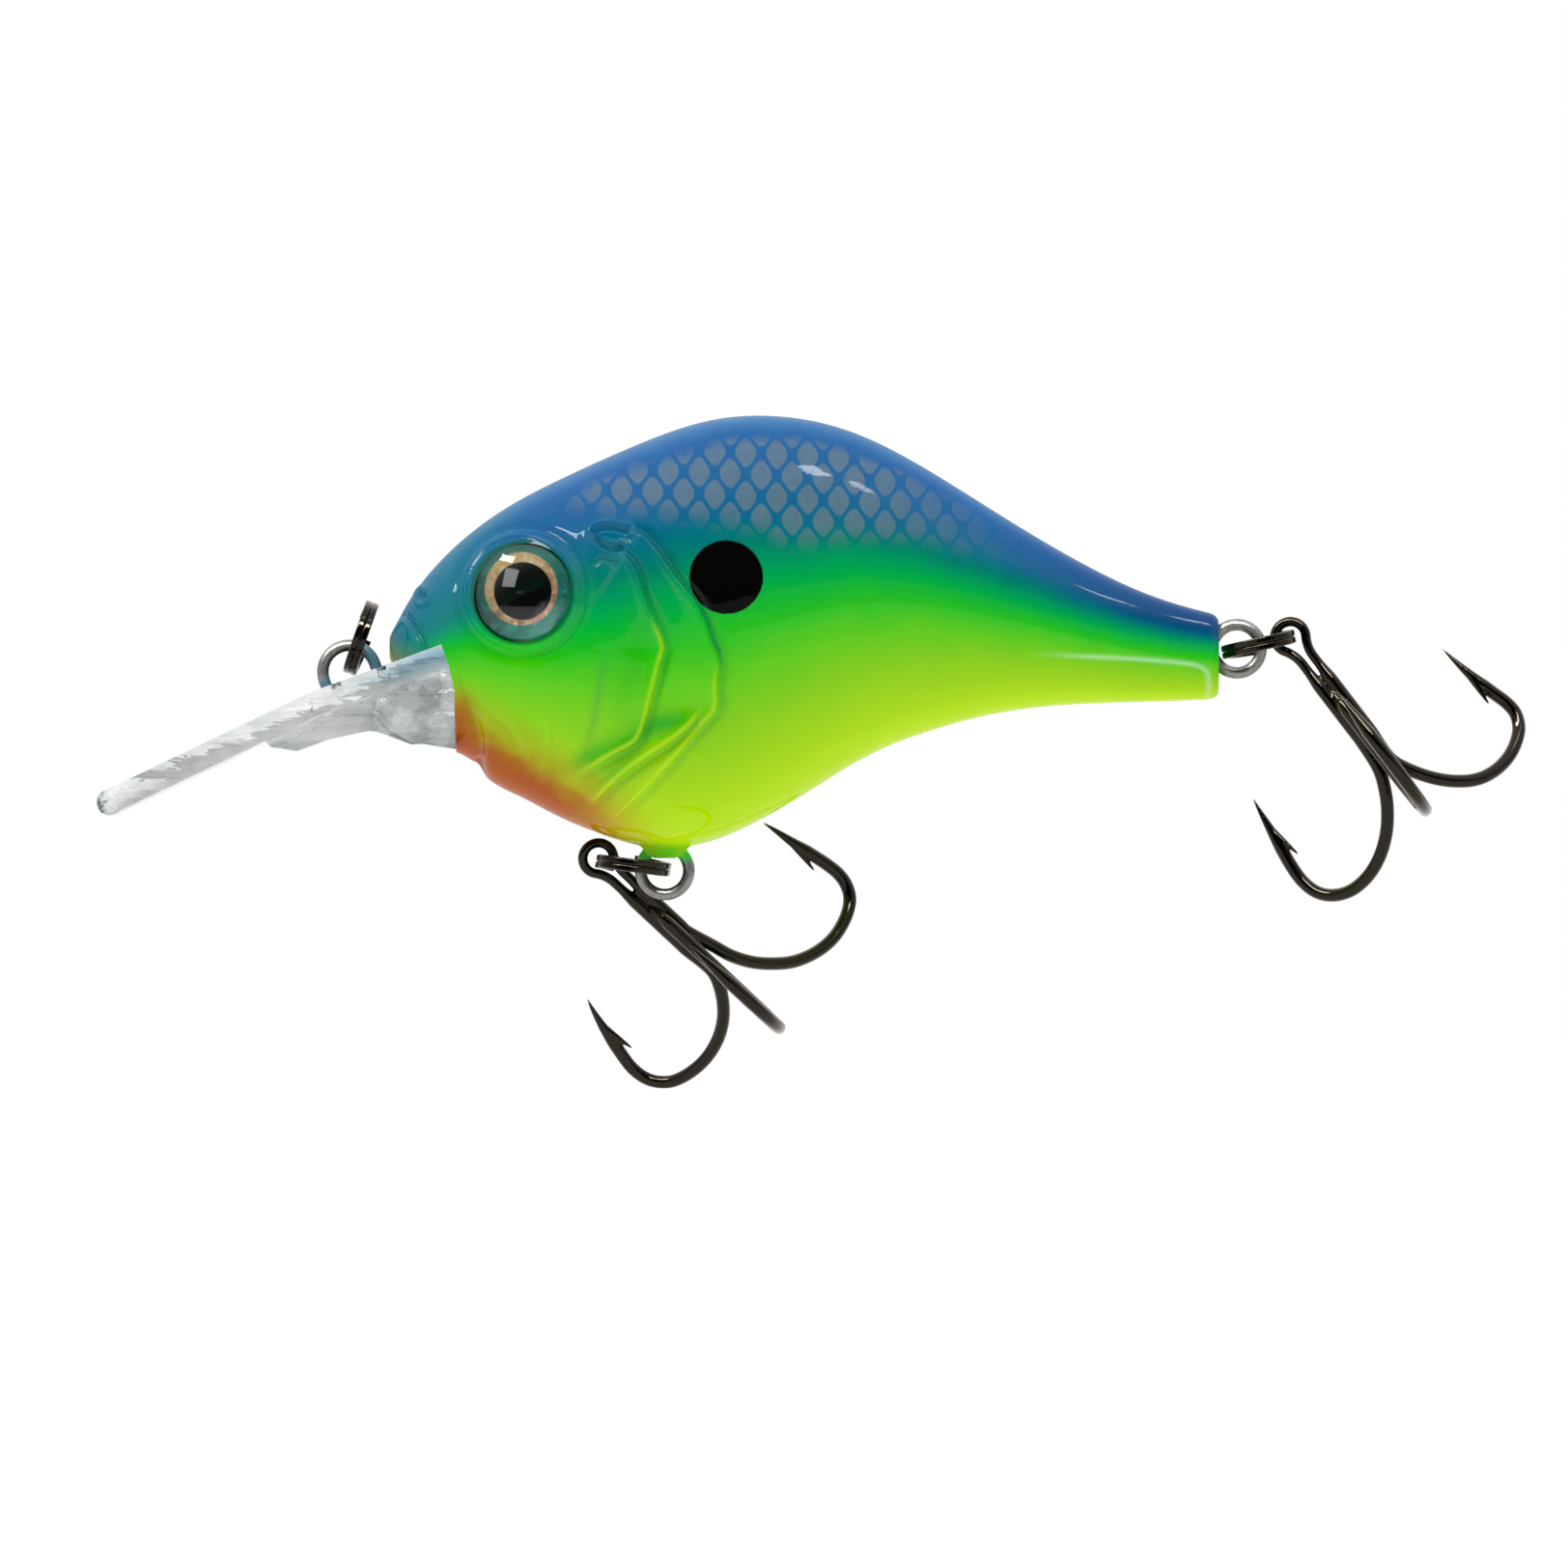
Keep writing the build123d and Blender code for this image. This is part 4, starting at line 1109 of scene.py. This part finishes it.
def eye_curve():
    """Wire up one leg, round the eye and down the other leg, in (across, s), with radii."""
    half_gap = PACK_R * math.cos(math.radians(30))
    fillet = EYE_FILLET_R
    fillet_x = half_gap + fillet
    fillet_s = math.sqrt((EYE_LOOP_R + fillet) ** 2 - fillet_x**2)
    share = EYE_LOOP_R / (EYE_LOOP_R + fillet)
    touch_s, touch_x = fillet_s * share, fillet_x * share  # where fillet and loop meet
    touch_angle = math.atan2(touch_s, touch_x)
    turn = math.atan2(fillet_s - touch_s, fillet_x - touch_x)
    leg = [(half_gap, s) for s in np.linspace(EYE_LEG_END, fillet_s, 10)]
    for q in np.linspace(0, 1, 14)[1:]:
        a = math.pi + turn * q
        leg.append((half_gap + fillet + fillet * math.cos(a), fillet_s + fillet * math.sin(a)))
    loop = [(EYE_LOOP_R * math.cos(a), EYE_LOOP_R * math.sin(a))
            for a in np.linspace(math.pi - touch_angle, math.pi * 2 + touch_angle, 64)[1:-1]]
    path = [(-x, s) for x, s in leg] + loop + leg[::-1]
    # slimmer wire round the eye
    radii = [EYE_WIRE_R + (HOOK_R - EYE_WIRE_R) * float(smooth01((s - 3.2) / 1.9))
             for _, s in path]
    return path, radii


def treble_mesh(name, eye, shank, tilt_deg, y_shift, rear, front):
    """Treble from its eye's (x, z), the shank's direction in side view and its tilt in y."""
    ax, az = np.array(shank) / math.hypot(*shank)
    tilt = math.radians(tilt_deg)
    axis = np.array((ax * math.cos(tilt), math.sin(tilt), az * math.cos(tilt)))
    across = np.array((-az, 0, ax))
    lateral = np.cross(axis, across)
    if lateral[1] < 0:
        lateral = -lateral
    origin = np.array((eye[0], y_shift, eye[1]))

    def place(run, out):
        return [origin + out * r + axis * s for r, s in run]

    c30, s30 = math.cos(math.radians(30)), 0.5
    parts = []
    # a formed pair on the +Y side, and a brazed single hook on the -Y side
    pair = ((across * c30 + lateral * s30, rear), (-across * c30 + lateral * s30, front))
    for out, bend in (*pair, (-lateral, None)):
        if bend:
            # lift the side-view run into this hook's own plane
            to_plane = np.linalg.inv(np.array([[out[0], axis[0]], [out[2], axis[2]]]))
            lifted = [tuple(to_plane @ (np.array(q) - np.array(eye))) for q in bend]
            pts, radii, left = hook_curve(formed_bend(5.0, lifted))
            shown = radii
        else:
            pts, radii, left = hook_curve(round_bend(6.8))
            # the single hook's head is rounded off into the pair
            steps = np.linalg.norm(np.diff(pts, axis=0), axis=1)
            run = np.concatenate([[0], np.cumsum(steps)])
            shown = [r * (0.12 + 0.88 * min(1.0, q / 1.3) ** 0.5) for r, q in zip(radii, run)]
        parts.append(tube(place(pts, out), shown))
        barb, barb_radii = barb_curve(pts, shown, left)
        parts.append(tube(place(barb, out), barb_radii, 14))

    # eye, in the plane of the pair
    pair_offset = lateral * (PACK_R / 2)
    path, radii = eye_curve()
    parts.append(tube([origin + pair_offset + across * x + axis * s for x, s in path], radii))
    # braze between the three shanks, with rounded ends, and between the pair
    last = 19
    braze = [origin + axis * s for s in np.linspace(6.0, SHANK_END - 0.4, last + 1)]
    radii = [(0.50 + 0.08 * math.sin(math.pi * i / last))
             * (0.1 + 0.9 * min(1.0, min(i, last - i) / 4) ** 0.5) for i in range(last + 1)]
    parts.append(tube(braze, radii, 16))
    braze = [origin + axis * s + pair_offset for s in np.linspace(4.3, SHANK_END - 0.2, 20)]
    parts.append(tube(braze, [0.30] * 20, 14))

    verts, faces = [], []
    for part_verts, part_faces in parts:
        offset = len(verts)
        verts += [tuple(np.array(v) * MM) for v in part_verts]
        faces += [tuple(i + offset for i in face) for face in part_faces]
    ob = new_mesh(name, verts, faces)
    remesh = ob.modifiers.new("remesh", "REMESH")
    remesh.mode = "VOXEL"
    remesh.voxel_size = VOXEL * MM
    remesh.adaptivity = 0.0
    smooth = ob.modifiers.new("smooth", "SMOOTH")
    smooth.factor = 0.5
    smooth.iterations = 4
    apply_modifiers(ob)
    shade_smooth(ob.data)
    return ob


# ------------------------------------------------------------------ diving lip
LIP_FILLS = ((-3.9, -0.2), (2.1, 5.6))  # x ranges filled inside the lip
FILL_TOP, FILL_BOTTOM, FILL_HALF = -0.17, -1.97, 0.83  # z offsets from the upper face; half y


def make_lip(name):
    """Copy of the lip with two stretches filled in and its sharp edges rolled over."""
    ob = copy_node("diving_lip", name)
    clean(ob)
    for x0, x1 in LIP_FILLS:
        outline_xz = lip_band(x0, x1, FILL_TOP, FILL_BOTTOM)
        boolean(ob, prism("fill", outline_xz, -FILL_HALF, FILL_HALF), "UNION")
    clean(ob)
    with editing(ob) as bm:
        bmesh.ops.dissolve_limit(bm, angle_limit=math.radians(1.0), verts=bm.verts,
                                 edges=bm.edges)
    bevel = ob.modifiers.new("bevel", "BEVEL")
    bevel.width = 0.40 * MM
    bevel.segments = 4
    bevel.limit_method = "ANGLE"
    bevel.angle_limit = math.radians(32)
    bevel.use_clamp_overlap = True
    apply_modifiers(ob)
    sharpen(ob, limit_deg=50)
    return ob


# ------------------------------------------------------------------ build the object
paint = paint_material()
clear = lip_material()
nickel = nickel_material()
hanger = hanger_material()
steel = metal("steel_ball", "b5b6b8", "c9cacc", rough=0.16)[0].material
lens = lens_material()
foil_left, foil_right = foil_material("eye_foil_l"), foil_material("eye_foil_r")


def give(ob, material):
    ob.data.materials.clear()
    ob.data.materials.append(material)


for side, node in ((-1, "left_body_shell"), (1, "right_body_shell")):
    shell = make_shell(side, node + "_painted")
    give(shell, paint)
    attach(shell, "lure_body")
    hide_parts(node)
    give(NODES[node], paint)

JOINTS = {joint["name"]: joint for joint in frame["joints"]}
trebles = []
for body, settings in (
    ("belly_treble", dict(shank=(0.731, -0.683), tilt_deg=13.0, y_shift=0.50,
                          rear=BELLY_REAR, front=BELLY_FRONT)),
    ("tail_treble", dict(shank=(0.604, -0.797), tilt_deg=-9.0, y_shift=-0.10,
                         rear=TAIL_REAR, front=TAIL_FRONT)),
):
    swing = JOINTS[body + "_swing"]["pos_m"]
    treble = treble_mesh(body + "_brazed", (swing[0] * 1000, swing[2] * 1000), **settings)
    nodes = (body + "_double", body + "_single")
    give(treble, nickel)
    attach(treble, body)
    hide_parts(*nodes)
    for node in nodes:
        give(NODES[node], nickel)
    trebles.append(treble)

RINGS = ("line_tie_split_ring", "belly_split_ring", "tail_split_ring")
WIRES = ("line_tie_wire", "belly_hanger_wire", "tail_hanger_wire")
BALLS = ("belly_ballast_ball", "head_rattle_ball", "shoulder_rattle_ball", "tail_rattle_ball")
LENSES = ("left_eye_lens", "right_eye_lens")
for names, material in (
    (RINGS, nickel), (WIRES, hanger), (BALLS, steel), (LENSES, lens),
    (("left_eye_foil",), foil_left), (("right_eye_foil",), foil_right),
    (("diving_lip",), clear),
):
    for name in names:
        give(NODES[name], material)

lip = make_lip("diving_lip_moulded")
give(lip, clear)
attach(lip, "lure_body")
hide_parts("diving_lip")
for name, ob in NODES.items():
    if not name.endswith("_shell"):
        shade_smooth(ob.data)

# ------------------------------------------------------------------ stage (metres)
FLOOR_Z = -0.115
bpy.ops.mesh.primitive_plane_add(size=12, location=(0.04, 0, FLOOR_Z))
floor = bpy.context.object
floor.name = "floor"
floor.data.materials.append(stage_material())


def studio_world():
    """A light tent: bright overhead and beyond the lure, darker towards the camera."""
    world = bpy.data.worlds.new("studio")
    bpy.context.scene.world = world
    world.use_nodes = True
    w = Nodes(world.node_tree)
    out = w.add("ShaderNodeOutputWorld")
    background = w.add("ShaderNodeBackground")
    _, y, z = w.split(w.value("ShaderNodeTexCoord", {}, "Generated"))
    overhead = z.rise(lo=-0.10, hi=0.80)
    beyond = y.rise(lo=-0.25, hi=0.55)
    strength = 0.42 + overhead * 0.85
    strength = strength + beyond * 0.10
    near = (y * -1.0).rise(lo=0.45, hi=0.86)
    strength = strength * (1.0 - near * 0.93)
    # the camera itself sees plain white
    camera = w.camera_ray()
    strength = strength * (1.0 - camera) + camera
    w.put(background.inputs[1], strength)
    w.put(background.inputs[0], (1, 1, 1))
    w.put(out.inputs[0], Field(w, background.outputs[0]))


studio_world()


# ------------------------------------------------------------------ lights
def area(name, way, dist, aim, size, size_y, power):
    """Area light, dist metres from aim (mm) in the direction way; sizes in metres."""
    light = bpy.data.lights.new(name, "AREA")
    light.energy = power
    light.shape = "RECTANGLE"
    light.size = size
    light.size_y = size_y
    ob = bpy.data.objects.new(name, light)
    target = Vector(aim) * MM
    ob.location = place = target + Vector(way).normalized() * dist
    ob.rotation_euler = (target - place).to_track_quat("-Z", "Y").to_euler()
    bpy.context.scene.collection.objects.link(ob)
    return ob


def light_only(light, name, objects):
    """Let the light reach only these objects."""
    group = bpy.data.collections.new(name)
    for ob in objects:
        group.objects.link(ob)
    light.light_linking.receiver_collection = group


area("key_a", way=(0.31, -0.46, 0.83), dist=0.80, aim=(40.8, -6.0, 16.9),
     size=0.05, size_y=0.10, power=0.32)
area("key_b", way=(0.47, -0.50, 0.75), dist=0.80, aim=(43.5, -6.0, 15.6),
     size=0.04, size_y=0.08, power=0.16)
area("top_left", way=(-0.55, -0.45, 0.75), dist=0.90, aim=(20.0, 0, 0),
     size=0.22, size_y=0.10, power=1.5)
fill = area("soft_fill", way=(0.30, -0.80, -0.10), dist=1.10, aim=(30.0, 0, 0),
            size=0.9, size_y=0.5, power=0.55)
# the window-shaped glint in each eye
glint = area("eye_glint", way=(-0.533, -0.704, 0.469), dist=0.80, aim=(14.5, -8.6, 7.2),
             size=0.20, size_y=0.26, power=0.9)
light_only(glint, "eye_lenses", [NODES[name] for name in LENSES])
# long bright lines along the hooks, rings and wires
strip = area("wire_strip", way=(-0.25, -0.62, 0.74), dist=0.80, aim=(30.0, 0, -10.0),
             size=1.0, size_y=0.12, power=16.0)
wire_parts = trebles + [NODES[name] for name in RINGS + WIRES]
light_only(strip, "wire_parts", wire_parts)
# the broad fill would mirror as a flat sheet in the wire, so it lights everything else
light_only(fill, "fill_parts", [ob for ob in bpy.context.scene.objects
                                if ob.type == "MESH" and ob not in wire_parts])

# ------------------------------------------------------------------ camera
CAMERA_DIST = 1.6  # metres
FRAME_WIDTH = 133.115  # width of view at the lure
SENSOR_WIDTH = 36
camera_data = bpy.data.cameras.new("cam")
camera_data.sensor_width = SENSOR_WIDTH
camera_data.lens = SENSOR_WIDTH * CAMERA_DIST / (FRAME_WIDTH * MM)
camera_data.clip_end = 50
camera = add_object("cam", camera_data)
camera.location = (36.885 * MM, -CAMERA_DIST, -9.508 * MM)
camera.rotation_euler = (math.radians(90), 0, 0)
bpy.context.scene.camera = camera
bpy.context.scene.view_settings.view_transform = "Standard"
